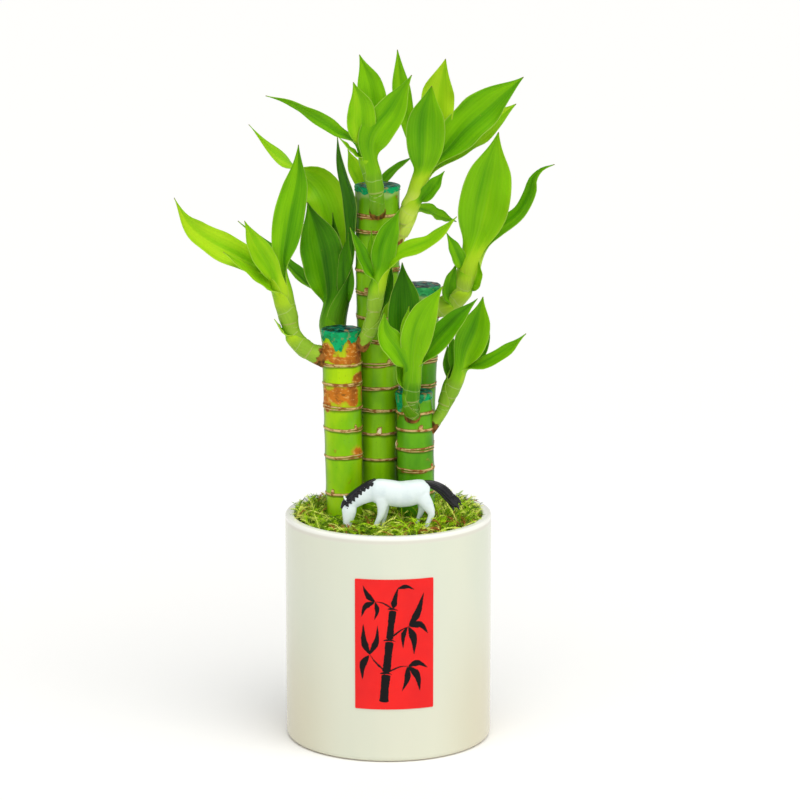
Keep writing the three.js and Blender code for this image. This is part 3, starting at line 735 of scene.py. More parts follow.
@dataclass(frozen=True)
class StalkSkin(Finish):
    """Green skin of a cut stalk, with painted shade round its sides and behind, tan leaf scars, rusty bark and wax
    stains.

    The points carry scar, groove, bark, stain and painted_side_shade, which goes from 0 at the front to 1 behind. The
    groove mark places painted shade in the groove under each scar.
    """

    name: str = "stalk_skin"
    base: tuple = (176, 218, 2)
    deep: tuple = (118, 184, 4)

    def mix(self, r: Recipe) -> None:
        """Lays the finish's coats.

        Args:
            r: what the coats are laid on.
        """
        bark, scar, stain, painted_side_shade = (r.mark(name) for name in ("bark", "scar", "stain", "painted_side_shade"))
        streaks = r.noise(700, 3, r.place(1, 1, 0.12))
        patches = r.noise(75, 3, r.place(1, 1, 0.5))
        fine = r.noise(420, 4, r.place(1, 1, 2))
        broken = r.noise(150, 5, r.place(1, 1, 0.8))
        r.coat(self.deep, patches, 0.3, 0.72)
        r.coat(self.deep, streaks, 0.45, 0.8, 0.25)
        r.coat((60, 100, 8), r.cells(520), 0.16, 0.08, 0.3)
        # Painted shade: darker green round the sides and behind.
        r.coat((52, 104, 6), painted_side_shade, 0.1, 0.6, 0.4)
        # Painted shade: darkest at the sides, where the stalks shade each other.
        r.coat((24, 58, 6), painted_side_shade, 0.24, 0.5, 0.65)
        # Painted shade: dark olive in the groove under each scar and between its two lines.
        r.coat((50, 58, 6), r.mark("groove"), 0.2, 1.0, 0.6)
        ragged = bark + (broken - 0.5) * 2.6
        r.lay((196, 160, 30), r.band(ragged, 0.05, 0.5, 0.55) * r.band(bark, 0.06, 0.3))
        rusty = r.band(ragged, 0.37, 0.6, 0.92)
        rust = r.fade((206, 112, 28), (150, 68, 24), broken, 0.4, 0.68)
        rust = r.fade(rust, (232, 176, 100), fine, 0.46, 0.34, 0.75)
        r.lay(r.fade(rust, (96, 50, 24), fine, 0.54, 0.68, 0.8), rusty)
        torn = scar + (fine - 0.5) * 0.7
        tan = r.band(torn, 0.44, 0.66)
        r.coat((124, 76, 26), torn, 0.14, 0.4, 0.85)
        r.lay(r.fade((218, 188, 124), (146, 92, 40), fine, 0.44, 0.62), tan)
        r.coat((244, 232, 190), scar, 1.1, 1.5)
        run = stain + (patches - 0.5) * 0.9
        r.coat((204, 218, 156), run, 0.12, 0.38, 0.45)
        r.coat((10, 136, 84), run, 0.4, 0.7, 0.9)
        r.relief(streaks * 0.25 + fine * (rusty + tan) * 0.8, 0.35)
        rougher = rusty.math("MAXIMUM", tan) * 0.3
        r.set(Roughness=rougher + 0.3, Specular_IOR_Level=0.12, Coat_Weight=0.03, Coat_Roughness=0.12)


@dataclass(frozen=True)
class SealingWax(Finish):
    """Blue-green wax, bright at the rim, dark and crusted on top. The points carry top."""

    name: str = "sealing_wax"
    base: tuple = (6, 172, 104)
    dull: tuple = (18, 140, 78)
    glossy_top: tuple = (0, 128, 108)
    dark_top: tuple = (2, 46, 42)

    def mix(self, r: Recipe) -> None:
        """Lays the finish's coats.

        Args:
            r: what the coats are laid on.
        """
        crust, top = r.noise(330, 5, r.place(1, 1, 1.6)), r.mark("top")
        r.coat(self.dull, r.noise(170, 3), 0.42, 0.62)
        r.lay(r.fade(self.glossy_top, self.dark_top, crust, 0.42, 0.56), top)
        most_on_top = (top * 0.6 + 0.4) * 0.9
        r.lay((4, 26, 22), r.band(r.cells(520), 0.34, 0.14) * most_on_top)
        r.lay((172, 132, 80), r.band(r.noise(400, 3), 0.58, 0.63) * most_on_top)
        r.relief(crust, 1.1)
        r.set(Roughness=0.32, Specular_IOR_Level=0.1, Coat_Weight=0.03, Coat_Roughness=0.15)


LIGHT_THROUGH = (190, 240, 0)


def young_green(r: Recipe, pale: Value, streaks: Value) -> Value:
    """The colour of a young stem, which its leaves' sheaths share."""
    green = r.fade((98, 172, 6), (62, 118, 12), r.mark("pale"), 0.1, -0.4)
    return r.fade(r.blend(pale, green, (228, 250, 96)), (190, 232, 60), streaks, 0.42, 0.75, 0.3)


@dataclass(frozen=True)
class LeafBlade(Finish):
    """A leaf's two faces: parallel veins, a midrib, a stem-coloured sheath and a thin pale edge.

    The points carry tone_and_shade, from bright to deep green and partly painted shade, along, below 0 on the sheath,
    pale and seed.
    """

    name: str = "leaf_blade"
    tones: tuple = ((192, 232, 34), (142, 210, 6), (92, 170, 2), (44, 112, 4))
    veins: float = 13.0

    def mix(self, r: Recipe) -> None:
        """Lays the finish's coats.

        Args:
            r: what the coats are laid on.
        """
        u = r.parts(r.along(1, 1, 1))[0]
        along, pale, seed = r.mark("along"), r.mark("pale"), r.mark("seed")
        across = abs(u * 2 - 1)
        clouds = r.noise(1, 2, r.along(2.2, 1.7, 1), seed)
        streaks = r.noise(1, 3, r.along(14, 0.7, 1), seed)
        # Painted shade: tone_and_shade deepens the green of leaves that lie in shade.
        depth = r.mark("tone_and_shade") + (clouds - 0.5) * 0.95 + (streaks - 0.5) * 0.32 + r.band(across, 0.85, 0, 0.08)
        # Painted shade: one half of the blade darker and the other lighter, as light falls across its fold.
        depth = depth + (r.band(u, 0.44, 0.56) - 0.5) * ((seed - 0.5) * 0.4)
        depth = depth - r.band(along, 0.3, -0.05) * (pale + 0.12)
        palest, bright, deep, deepest = self.tones
        light = r.fade(palest, bright, depth, -0.15, 0.3)
        r.colour = r.fade(light, r.fade(deep, deepest, depth, 0.55, 1.05), depth, 0.2, 0.68)
        ridges, fine = ((u * (TURN * self.veins * often)).math("SINE") for often in (1, 2.62))
        rib = ridges * 0.5 + fine * 0.3
        r.coat((206, 232, 70), rib, 0, 0.9, 0.1)
        r.lay((190, 220, 84), r.band(across, 0.04, 0) * r.band(along, 0.8, 0.05, 0.25))
        r.coat(young_green(r, pale, streaks), along, 0.22, -0.4)
        r.coat((224, 236, 160), abs(along + (clouds + u) * 0.3 + 0.12), 0.035, 0, 0.35)
        r.coat((214, 206, 130), along, -0.9, -0.97, 0.5)
        r.coat((208, 226, 110), across, 0.95, 0.99, 0.5)
        r.coat((150, 128, 56), along, 0.982, 0.997, 0.75)
        nicks = r.band(r.cells(1, r.along(5, 9, 1)), 0.045, 0.02) * r.band(seed, 0.55, 0.6)
        r.lay((206, 178, 70), nicks * 0.6)
        r.relief(rib * 0.4 + streaks * 0.6, 0.09)
        r.set(Roughness=clouds * 0.14 + 0.3, Specular_IOR_Level=0.12)
        r.shine_through(LIGHT_THROUGH, 0.4, 0.24)


@dataclass(frozen=True)
class ShootSkin(Finish):
    """Smooth young stem with faint sheath lines and a rough brown collar. The points carry ring, base and pale."""

    name: str = "shoot_skin"

    def mix(self, r: Recipe) -> None:
        """Lays the finish's coats.

        Args:
            r: what the coats are laid on.
        """
        streaks, fine = r.noise(1, 3, r.along(9, 2, 1)), r.noise(520, 4)
        r.colour = young_green(r, r.mark("pale") + (r.noise(130, 3) - 0.5) * 0.5, streaks)
        r.coat((226, 232, 160), r.mark("ring") + (fine - 0.5) * 0.9, 0.5, 0.85, 0.5)
        bark = r.band(r.mark("base") + (r.noise(330, 4) - 0.5) * 1.3, 0.42, 0.62)
        r.lay(r.fade((176, 112, 50), (84, 50, 24), fine, 0.35, 0.65), bark)
        r.relief(streaks * 0.3 + fine * bark * 1.2, 0.3)
        r.set(Roughness=bark * 0.35 + 0.34, Specular_IOR_Level=0.12)
        r.shine_through(LIGHT_THROUGH, 0.5, 0.26)


@dataclass(frozen=True)
class SheetMoss(Finish):
    """Moss strands. The points carry tint: 0 deep green, 0.5 bright, 0.8 yellow and 1 dry brown."""

    name: str = "sheet_moss"
    base: tuple = (72, 112, 4)

    def mix(self, r: Recipe) -> None:
        """Lays the finish's coats.

        Args:
            r: what the coats are laid on.
        """
        tint, mottle = r.mark("tint"), r.noise(350, 3)
        shifted = tint + (mottle - 0.5) * 0.25
        r.coat((186, 232, 22), shifted, 0, 0.5)
        r.coat((250, 255, 128), shifted, 0.5, 0.8)
        r.coat((168, 100, 44), tint, 0.88, 0.96)
        r.relief(mottle, 0.1)
        r.set(Roughness=0.6, Specular_IOR_Level=0.2)


@dataclass(frozen=True)
class MossBeddingAndShade(Finish):
    """The dark matted layer between the strands: partly the matted moss's own colour, partly painted shade in the
    gaps.
    """

    name: str = "moss_bedding_and_shade"
    base: tuple = (34, 46, 6)

    def mix(self, r: Recipe) -> None:
        """Lays the finish's coats.

        Args:
            r: what the coats are laid on.
        """
        mat = r.noise(260, 5)
        r.coat((90, 120, 14), mat, 0.35, 0.65)
        r.coat((96, 62, 30), r.noise(600, 3, r.place(1, 3, 1)), 0.62, 0.7)
        r.relief(mat, 1.5)
        r.set(Roughness=0.9)


@dataclass(frozen=True)
class CastPlastic(Finish):
    """Painted figurine plastic, with paint worn a little in scattered patches."""

    worn: tuple = ()
    gloss: float = 0.3

    def mix(self, r: Recipe) -> None:
        """Lays the finish's coats.

        Args:
            r: what the coats are laid on.
        """
        fine = r.noise(900, 2, r.place(0.5, 1, 2))
        r.coat(self.worn, r.noise(240, 3), 0.4, 0.75)
        r.relief(fine, 0.08)
        r.set(Roughness=fine * 0.1 + self.gloss, Coat_Weight=0.12, Coat_Roughness=0.12, Specular_IOR_Level=0.35)


@dataclass(frozen=True)
class PaleFloor(Finish):
    """Matt pale studio floor, in linear colour."""

    name: str = "pale_floor"
    base: tuple = (0.96, 0.96, 0.96, 1.0)

    def mix(self, r: Recipe) -> None:
        """Lays the finish's coats."""
        r.set(Roughness=0.9, Specular_IOR_Level=0.1)


# Pot, label and what fills the pot


class Slot(Enum):
    """The record's material slots."""

    GLAZE = "glaze"
    SOIL = "soil"
    LABEL = "label"
    MOSS = "moss"
    STALK = "stalk"
    WAX = "wax"
    LEAF = "leaf"
    SHADED_LEAF = "shaded_leaf"
    FIGURINE = "figurine"


@dataclass(frozen=True)
class Pot:
    """A straight cylinder with a rounded lip and foot, closed at the bottom."""

    height: float = 100.0
    radius: float = 45.0
    wall: float = 4.0
    floor: float = 5.0
    lip_round: float = 1.9
    foot_round: float = 2.5
    floor_round: float = 4.0
    sides: int = 128
    round_faces: int = 6
    finish: Finish = Glaze()

    @property
    def inner_radius(self) -> float:
        """The inside's radius."""
        return self.radius - self.wall

    def build(self) -> bpy.types.Object:
        """Pulls the pot out of a cylinder.

        Returns:
            The pot.
        """
        height = self.height * MM
        size = {"radius": self.radius * MM, "depth": height, "location": (0, 0, height / 2)}
        pot = settle(add("cylinder", "pot_glazed", vertices=self.sides, **size))
        bpy.ops.object.mode_set(mode="EDIT")
        choose(pot, "FACE", lambda p: p.z > self.height - 0.01)
        bpy.ops.mesh.inset(thickness=self.wall * MM)
        depth = (self.floor - self.height) * MM
        bpy.ops.mesh.extrude_region_move(TRANSFORM_OT_translate={"value": (0, 0, depth)})
        self._round(pot, self.height, self.wall, self.lip_round)
        self._round(pot, 0, self.foot_round, self.foot_round)
        self._round(pot, self.floor, self.wall + 1, self.floor_round)
        face_out()
        return shade(pot)

    def _round(self, pot: bpy.types.Object, z: float, wall: float, size: float) -> None:
        """Rounds the ring edges that lie at a height.

        Args:
            pot: the pot, in edit mode.
            z: the edges' height.
            wall: how far in from the outside they still count.
            size: the rounding's radius.
        """
        choose(pot, "EDGE", lambda p: abs(p.z - z) < 0.01 and self.radius - math.hypot(p.x, p.y) < wall + 0.2)
        bpy.ops.mesh.bevel(offset=size * MM, segments=self.round_faces, profile=0.5, clamp_overlap=True)

    def dress(self) -> None:
        """Makes the pot and hands it in."""
        hand_in(self.build(), self.finish, Slot.GLAZE, "pot")


@dataclass(frozen=True)
class Stroke:
    """One brush stroke on the label, as points across and up from the label's middle, with its widest width."""

    points: tuple
    width: float
    belly: float = 0.35
    blunt: bool = False

    COLUMNS = 6
    ROWS = 28
    INK = 0.04
    LIFT = 0.06
    RAGGED = 0.18
    LEAST = 0.04

    def build(self, label: Label, number: int) -> bpy.types.Object:
        """Lays the stroke on the label.

        Args:
            label: where it lies.
            number: tells strokes apart.

        Returns:
            The stroke, as thin as ink.
        """
        line = SmoothLine([(x, y, 0) for x, y in self.points])

        def place(side: float, share: float) -> Vector:
            """Places a corner of the grid on the stroke.

            Args:
                side: 0 to 1 across.
                share: 0 to 1 along.

            Returns:
                The corner's place.
            """
            spot, along = line.at(share)
            half = self.width / 2 * self._swell(share) * (1 + 0.1 * rough(share * 9, number * 3.1))
            ragged = self.RAGGED * rough(share * 26, number * 1.7, side * 4) * abs(side - 0.5) * 2
            spot = spot + Vector((along.y, -along.x, 0)) * ((side * 2 - 1) * half + ragged)
            return label.surface(spot.x, spot.y, self.LIFT)

        flat = bent_grid("stroke", self.COLUMNS, self.ROWS, place)
        return apply_modifier(flat, "SOLIDIFY", thickness=self.INK * MM, offset=0)

    def _swell(self, share: float) -> float:
        """Shapes the stroke.

        Args:
            share: 0 to 1 along the stroke.

        Returns:
            Its width there, of its widest.
        """
        if self.blunt:
            return 0.86 + 0.14 * abs(2 * share - 1) - 0.5 * (smooth(share, 0.97, 1) + smooth(share, 0.03, 0))
        rise, fall = share / self.belly, (1 - share) / (1 - self.belly)
        return max(min(rise, 1.0) ** 0.6 * min(fall, 1.0) ** 0.85, self.LEAST)


@dataclass(frozen=True)
class Label:
    """A red film round the pot's front with a brushed bamboo sprig: canes, their joints, twigs and leaves."""

    pot: Pot
    from_degrees: float = -18.2
    to_degrees: float = 25.3
    bottom: float = 24.0
    top: float = 81.5
    thickness: float = 0.3
    corner: float = 0.35
    strokes: tuple = (
        Stroke(((-4.6, -25.5), (-4.2, -19), (-3.6, -13.2)), 3.9, blunt=True),
        Stroke(((-3.5, -12.2), (-2.8, -5), (-2.2, 1.4)), 3.6, blunt=True),
        Stroke(((-2.1, 2.5), (-1.5, 9), (-0.7, 15.2)), 3.2, blunt=True),
        Stroke(((-0.6, 16.2), (0.3, 21), (1.6, 25.4)), 2.7, 0.2),
        Stroke(((-6.2, -12.7), (-3.6, -12.4), (-1.2, -13.1)), 1.2),
        Stroke(((-4.7, 2.0), (-2.1, 2.2), (0.4, 1.5)), 1.1),
        Stroke(((-3.0, 15.9), (-0.7, 15.9), (1.5, 15.2)), 1.0),
        Stroke(((-2.4, 2.4), (2.6, 6.4), (6.6, 8.2)), 0.8),
        Stroke(((-3.7, -12), (-8.4, -7.4), (-10.8, -4.2)), 0.8),
        Stroke(((-0.8, 16), (-5.2, 18.6), (-8.6, 19)), 0.7),
        Stroke(((-3.4, -12.4), (2.2, -9.8), (6, -9.6)), 0.7),
        Stroke(((6.2, 8.2), (9.6, 13.2), (12.6, 22.4)), 3.4),
        Stroke(((6.4, 8), (11, 8.6), (14.6, 4.4)), 3.1),
        Stroke(((6, 7.8), (8.2, 2.6), (8.4, -4.4)), 3.3),
        Stroke(((5.4, 7.8), (3.8, 4.4), (3.6, -1.6)), 2.1),
        Stroke(((-10.6, -4.4), (-13, 1), (-13.4, 8.8)), 3.1),
        Stroke(((-10.8, -4.4), (-7.8, 1.4), (-7.2, 8.4)), 2.7),
        Stroke(((-11, -4.8), (-13.6, -9), (-13.8, -15.6)), 3.2),
        Stroke(((-8.4, 19), (-11.4, 21.6), (-13.6, 26)), 2.6),
        Stroke(((-8.6, 18.8), (-12.4, 16.8), (-14.2, 12.2)), 2.6),
        Stroke(((-8.2, 18.8), (-7.4, 15), (-8.6, 11)), 2.1),
        Stroke(((6, -9.6), (10, -8.4), (14.4, -10.8)), 2.8),
        Stroke(((6, -9.8), (9.6, -13.8), (11, -20.8)), 3.3),
        Stroke(((5.6, -9.8), (5.4, -15.2), (3.2, -20.6)), 2.8),
        Stroke(((1.4, 25), (5.4, 25.6), (8.4, 24.2)), 1.9),
    )
    finish: Finish = RedLabel()
    ink: Finish = BrushInk()

    COLUMNS = 60
    ROWS = 96
    OFF_POT = 0.02

    def surface(self, across: float, up: float, lift: float) -> Vector:
        """Finds a point on the film.

        Args:
            across: distance to the right of the film's middle, along the pot.
            up: distance above the film's middle.
            lift: distance off the film.

        Returns:
            The point in the part's frame.
        """
        angle = math.radians((self.from_degrees + self.to_degrees) / 2) + across / self.pot.radius
        reach = self.pot.radius + self.thickness + lift
        return Vector((reach * math.sin(angle), -reach * math.cos(angle), (self.bottom + self.top) / 2 + up))

    def build(self) -> bpy.types.Object:
        """Lays the film round the pot, its corners a little rounded.

        Returns:
            The film.
        """
        half_width = math.radians(self.to_degrees - self.from_degrees) / 2 * self.pot.radius
        half_height = (self.top - self.bottom) / 2

        def place(side: float, share: float) -> Vector:
            """Places a corner of the grid on the film.

            Args:
                side: 0 to 1 across.
                share: 0 to 1 upwards.

            Returns:
                The corner's place.
            """
            x, y = (side * 2 - 1) * half_width, (share * 2 - 1) * half_height
            over_x, over_y = abs(x) - half_width + self.corner, abs(y) - half_height + self.corner
            if over_x > 0 and over_y > 0:
                pull = 1 - self.corner / max(self.corner, math.hypot(over_x, over_y))
                x -= math.copysign(over_x * pull, x)
                y -= math.copysign(over_y * pull, y)
            return self.surface(x, y, 0)

        film = bent_grid("label_film", self.COLUMNS, self.ROWS, place)
        apply_modifier(film, "SOLIDIFY", thickness=(self.thickness - self.OFF_POT) * MM, offset=-1)
        return shade(close(film, ends=False))

    def dress(self) -> None:
        """Makes the film and its sprig and hands them in."""
        hand_in(self.build(), self.finish, Slot.LABEL, "label")
        sprig = join("label_sprig", [stroke.build(self, i) for i, stroke in enumerate(self.strokes)])
        hand_in(shade(close(sprig, ends=False)), self.ink, Slot.LABEL, "label")


# Stalks and their wax. Angles are in degrees from the front, to the right


@dataclass(frozen=True)
class Patch:
    """A spot on a stalk: where it is, how far it reaches and how high it stands."""

    angle: float
    z: float
    wide: float
    tall: float
    raised: float = 0.0


@dataclass(frozen=True)
class Drip:
    """A run of wax down a stalk: its angle, its length and its width in degrees."""

    angle: float
    length: float
    wide: float


@dataclass(frozen=True)
class Stalk:
    """A cut stalk with leaf scars, which leans from the moss on, and its wax seal."""

    name: str
    foot: tuple
    head: tuple
    foot_radius: float
    head_radius: float
    top: float
    seed: float
    rings: tuple
    bark: tuple = ()
    buds: tuple = ()
    skirt: float = 1.8
    drips: tuple = ()
    stain: float = 0.0
    finish: Finish = StalkSkin()
    wax: Finish = SealingWax()

    FOOT_Z = 100.0
    BOTTOM = 25.3
    BOTTOM_EDGE = 0.6
    HIDDEN_LEVELS = (60.0, 92.0)
    SEEN_FROM = 95.0
    STEP = 1.1
    SCAR_STEP = 0.28
    SCAR_REACH = 1.7
    TOP_EDGE = 0.3
    AROUND = 64
    TALL_BUD = 0.75
    WAX_AROUND = 96
    WAX_TOP_ROWS = 10
    WAX_EDGE_ROWS = 6
    WAX_SIDE_ROWS = 12
    WAX_OVER = 0.35
    WAX_EDGE = 0.7
    WAX_DOME = 0.7
    WAX_SHOULDER = 0.45
    WAX_THICK = 0.5

    def radius(self, z: float) -> float:
        """The stalk's radius at a height."""
        return lerp(self.foot_radius, self.head_radius, clamp((z - self.FOOT_Z) / (self.top - self.FOOT_Z)))

    def axis(self, z: float) -> Vector:
        """The stalk's middle at a height."""
        share = max(0.0, (z - self.FOOT_Z) / (self.top - self.FOOT_Z))
        return Vector((lerp(self.foot[0], self.head[0], share), lerp(self.foot[1], self.head[1], share), z))

    def scar_lines(self, ring: float, angle: float) -> tuple[float, float]:
        """Finds the two lines of a leaf scar, which part and join round the stalk.

        Args:
            ring: the scar's height.
            angle: where round the stalk, in radians.

        Returns:
            The lower and the upper line's height.
        """
        turn = rough(ring * 0.37, self.seed) * 9
        tilted = ring + 0.28 * math.sin(angle + turn) + 0.3 * rough_round(angle, 2.2, ring)
        gap = lerp(0.45, 1.25, (0.5 + 0.5 * math.cos(angle - 1.7 * turn)) ** 2)
        return tilted - gap / 2, tilted + gap / 2

    def levels(self) -> list[float]:
        """Spreads the stalk's edge loops, close together at the scars.

        Returns:
            Their heights.
        """
        heights = [self.BOTTOM, self.BOTTOM + self.BOTTOM_EDGE, *self.HIDDEN_LEVELS]
        z = self.SEEN_FROM
        while z < self.top - self.TOP_EDGE:
            heights.append(z)
            z += self.SCAR_STEP if min(abs(z - ring) for ring in self.rings) < self.SCAR_REACH else self.STEP
        return heights + [self.top]

    def skin(self, angle: float, z: float) -> dict[str, float]:
        """Reads the skin at a place.

        Args:
            angle: where round the stalk, in radians from the front.
            z: the height.

        Returns:
            How far it stands out, and its marks.
        """
        out, scar, groove, bark = 0.16 * rough_round(angle, 1.2, z * 0.06 + self.seed * 7), 0.0, 0.0, 0.0
        for ring in (ring for ring in self.rings if abs(z - ring) <= 5):
            low, high = self.scar_lines(ring, angle)
            out += 0.26 * bell(z - high, 0.34) + 0.2 * bell(z - low, 0.32) + 0.18 * bell(z - ring, 2.4)
            out -= 0.12 * bell(z - low + 0.75, 0.4)
            scar = max(scar, 0.95 * bell(z - high, 0.38), 0.85 * bell(z - low, 0.34))
            # groove places painted shade in the recess under the lower line and between the lines.
            groove = max(groove, bell(z - low + 0.7, 0.42), 0.7 * bell(z - (low + high) / 2, 0.4))
        for patch in self.bark + self.buds:
            near = bell(apart(math.degrees(angle), patch.angle), patch.wide) * bell(z - patch.z, patch.tall)
            out += patch.raised * near
            if patch in self.bark:
                bark = max(bark, near * 1.15)
            else:
                scar = max(scar, smooth(near, 0.45, 0.7) * (1.8 if patch.raised > self.TALL_BUD else 1.0))
        uneven = 1 + 0.5 * rough_round(angle, 2, self.seed)
        stain = self.stain * smooth(z, self.top - 6.5 * uneven, self.top - 1)
        # Painted shade mark: 0 at the front, 1 behind.
        painted_side_shade = 0.5 - 0.5 * math.cos(angle)
        return {"out": out, "scar": scar, "groove": groove, "bark": bark, "stain": stain, "painted_side_shade": painted_side_shade}

    def build(self) -> bpy.types.Object:
        """Rolls the stalk from a grid.

        Returns:
            The closed stalk.
        """
        levels = self.levels()
        last = len(levels) - 1
        seen: dict[tuple[float, float], dict[str, float]] = {}

        def read(mark: str, side: float, share: float) -> float:
            """Reads one of the skin's marks.

            Args:
                mark: its name.
                side: 0 to 1 round the shape.
                share: 0 to 1 upwards.

            Returns:
                Its value.
            """
            key = (round(side * self.AROUND) % self.AROUND, round(share * last))
            if key not in seen:
                seen[key] = self.skin(TURN * key[0] / self.AROUND, levels[key[1]])
            return seen[key][mark]

        def place(side: float, share: float) -> Vector:
            """Places a corner of the grid on the skin."""
            z = levels[round(share * last)]
            return self.axis(z) + outwards(TURN * side) * (self.radius(z) + read("out", side, share))

        names = ("scar", "groove", "bark", "stain", "painted_side_shade")
        marks = {mark: lambda side, share, mark=mark: read(mark, side, share) for mark in names}
        return shade(close(bent_grid("stalk_%s" % self.name, self.AROUND, last, place, marks)), 70)

    def run(self, angle: float) -> float:
        """Finds how far the wax runs down.

        Args:
            angle: where round the stalk, in radians.

        Returns:
            The length of the run.
        """
        length = self.skirt * (1 + 0.35 * rough_round(angle, 1.7, self.seed * 5))
        for drip in self.drips:
            length = max(length, drip.length * bell(apart(math.degrees(angle), drip.angle), drip.wide) ** 0.7)
        return length * (1 + 0.32 * rough_round(angle, 7, self.seed * 9))

    def build_wax(self) -> bpy.types.Object:
        """Moulds the wax over the stalk's cut end: its top, its round edge and its ragged side.

        Returns:
            The seal.
        """
        top_rows, edge_rows, side_rows = self.WAX_TOP_ROWS, self.WAX_EDGE_ROWS, self.WAX_SIDE_ROWS
        rows = top_rows + edge_rows + side_rows
        over, edge, dome = self.WAX_OVER, self.WAX_EDGE, self.WAX_DOME
        shoulder = self.top + dome * self.WAX_SHOULDER
        radius = self.head_radius + over

        def place(side: float, share: float) -> Vector:
            """Places a corner of the grid on the wax.

            Args:
                side: 0 to 1 round the shape.
                share: 0 to 1 from the middle down to the rim.

            Returns:
                The corner's place.
            """
            angle, row = TURN * side, round(share * rows)
            crust = 0.28 * rough_round(angle, row * 0.28, self.seed + 3)
            if row <= top_rows:
                part = row / top_rows
                reach = (radius - edge) * part
                z = self.top + dome * (1 - 0.55 * part * part) + crust * min(1.0, part * 4)
            elif row <= top_rows + edge_rows:
                bend = (row - top_rows) / edge_rows * math.pi / 2
                reach = radius - edge + edge * math.sin(bend)
                z = shoulder - edge * (1 - math.cos(bend)) + crust * math.cos(bend)
            else:
                part = (row - top_rows - edge_rows) / side_rows
                z = shoulder - edge - part * self.run(angle)
                thin = 0.25 * smooth(part, 0.1, 0.8) - 0.22 * bell(part - 0.93, 0.1)
                reach = max(radius, self.radius(z) + over) - thin
            return self.axis(z) + outwards(angle) * reach

        marks = {"top": lambda side, share: 1 - smooth(share * rows, top_rows - 1.0, top_rows + edge_rows)}
        obj = close(bent_grid("wax_%s" % self.name, self.WAX_AROUND, rows, place, marks), ends=False)
        apply_modifier(obj, "SOLIDIFY", thickness=self.WAX_THICK * MM, offset=-1)
        return shade(close(obj, ends=False), 60)

    def dress(self) -> None:
        """Makes the stalk and its seal and hands them in."""
        hand_in(self.build(), self.finish, Slot.STALK, "stalk_%s" % self.name)
        hand_in(self.build_wax(), self.wax, Slot.WAX, "wax_%s" % self.name)


DEEP_SKIN = StalkSkin("stalk_skin_deep", (146, 208, 12), (88, 152, 10))
SHORT_SKIN = StalkSkin("stalk_skin_short", (108, 182, 20), (70, 138, 18))
# Paler wax for the back right seal: partly its own paler colour, partly painted light that lifts it where the other
# stalks shade it.
PALE_LIT_WAX = SealingWax("sealing_wax_pale_lit", (78, 192, 114), (44, 158, 84))
STALKS = (
    Stalk(
        "front_left", (-18.7, -11.5), (-20.1, -11.5), 7.9, 8.4, 183.5, 1.3,
        rings=(112, 128.5, 140.7, 150.2, 160.4, 169.2),
        bark=(
            Patch(0, 155.6, 75, 4.4, 0.08), Patch(34, 154, 26, 3.4, 0.1), Patch(-60, 152.5, 30, 3.0),
            Patch(48, 174.8, 42, 4.6, 0.1), Patch(-50, 174.2, 34, 4.0, 0.1), Patch(0, 171.4, 60, 1.6),
            Patch(52, 130.5, 24, 2.6, 0.12), Patch(60, 163, 22, 2.0), Patch(150, 140, 34, 6, 0.1),
            Patch(180, 172, 50, 5, 0.1),
        ),
        buds=(Patch(-35, 113.6, 8, 1.6, 0.7), Patch(40, 141.8, 7, 1.4, 0.6)),
        skirt=2.6, drips=(Drip(-8, 7.6, 22), Drip(38, 4.6, 16), Drip(-62, 3.6, 20), Drip(170, 5, 20)), stain=0.3,
    ),
    Stalk(
        "centre", (-4.2, 0), (-4.6, 0), 8.5, 9.6, 244.0, 2.9,
        rings=(114.5, 125, 136.3, 146.9, 156.9, 167.2, 177.5, 187.6, 198.5, 208, 216.3, 225.3, 232.2),
        bark=(Patch(66, 224.3, 16, 1.9, 0.2), Patch(-6, 231.6, 26, 1.0, 0.1), Patch(180, 180, 30, 3, 0.1)),
        buds=(Patch(4, 138.2, 8, 1.7, 0.8), Patch(-30, 199.8, 7, 1.3, 0.6), Patch(30, 169, 7, 1.3, 0.6)),
        skirt=1.3, drips=(Drip(-34, 2.4, 14), Drip(40, 2.2, 12), Drip(150, 4, 16)), stain=0.42,
        finish=DEEP_SKIN,
    ),
    Stalk(
        "front_right", (12.4, -10), (11.1, -10), 8.0, 7.8, 155.7, 4.1,
        rings=(112.5, 122.6, 131.5, 140, 147.7),
        buds=(Patch(-74, 133.3, 9, 2.0, 1.0), Patch(18, 141.6, 9, 1.6, 0.7), Patch(60, 124, 8, 1.4, 0.6)),
        skirt=2.2, drips=(Drip(-52, 8.2, 17), Drip(20, 3, 14), Drip(140, 5, 18)), stain=0.3,
        finish=SHORT_SKIN,
    ),
    Stalk(
        "back_right", (10.8, 9), (14.2, 9), 7.8, 8.3, 199.0, 5.7,
        rings=(114, 129, 143, 155.4, 166.9, 177, 188),
        bark=(Patch(22, 193.6, 10, 1.5, 0.1), Patch(72, 190.6, 12, 1.8, 0.2), Patch(170, 160, 26, 4, 0.1)),
        buds=(Patch(10, 168.4, 8, 1.4, 0.6),),
        skirt=2.6, drips=(Drip(30, 4.4, 16), Drip(-130, 4, 20)), stain=0.9,
        finish=SHORT_SKIN, wax=PALE_LIT_WAX,
    ),
    Stalk(
        "back_left", (-19.5, 11.5), (-19.5, 12.5), 7.1, 7.2, 164.0, 6.6,
        rings=(113, 127, 140, 151.5),
        bark=(Patch(180, 133, 30, 4, 0.1),),
        buds=(Patch(160, 128.6, 8, 1.5, 0.7),),
        skirt=2.2, drips=(Drip(150, 4.5, 18),), stain=0.5,
        finish=DEEP_SKIN,
    ),
)


# Shoots and leaves


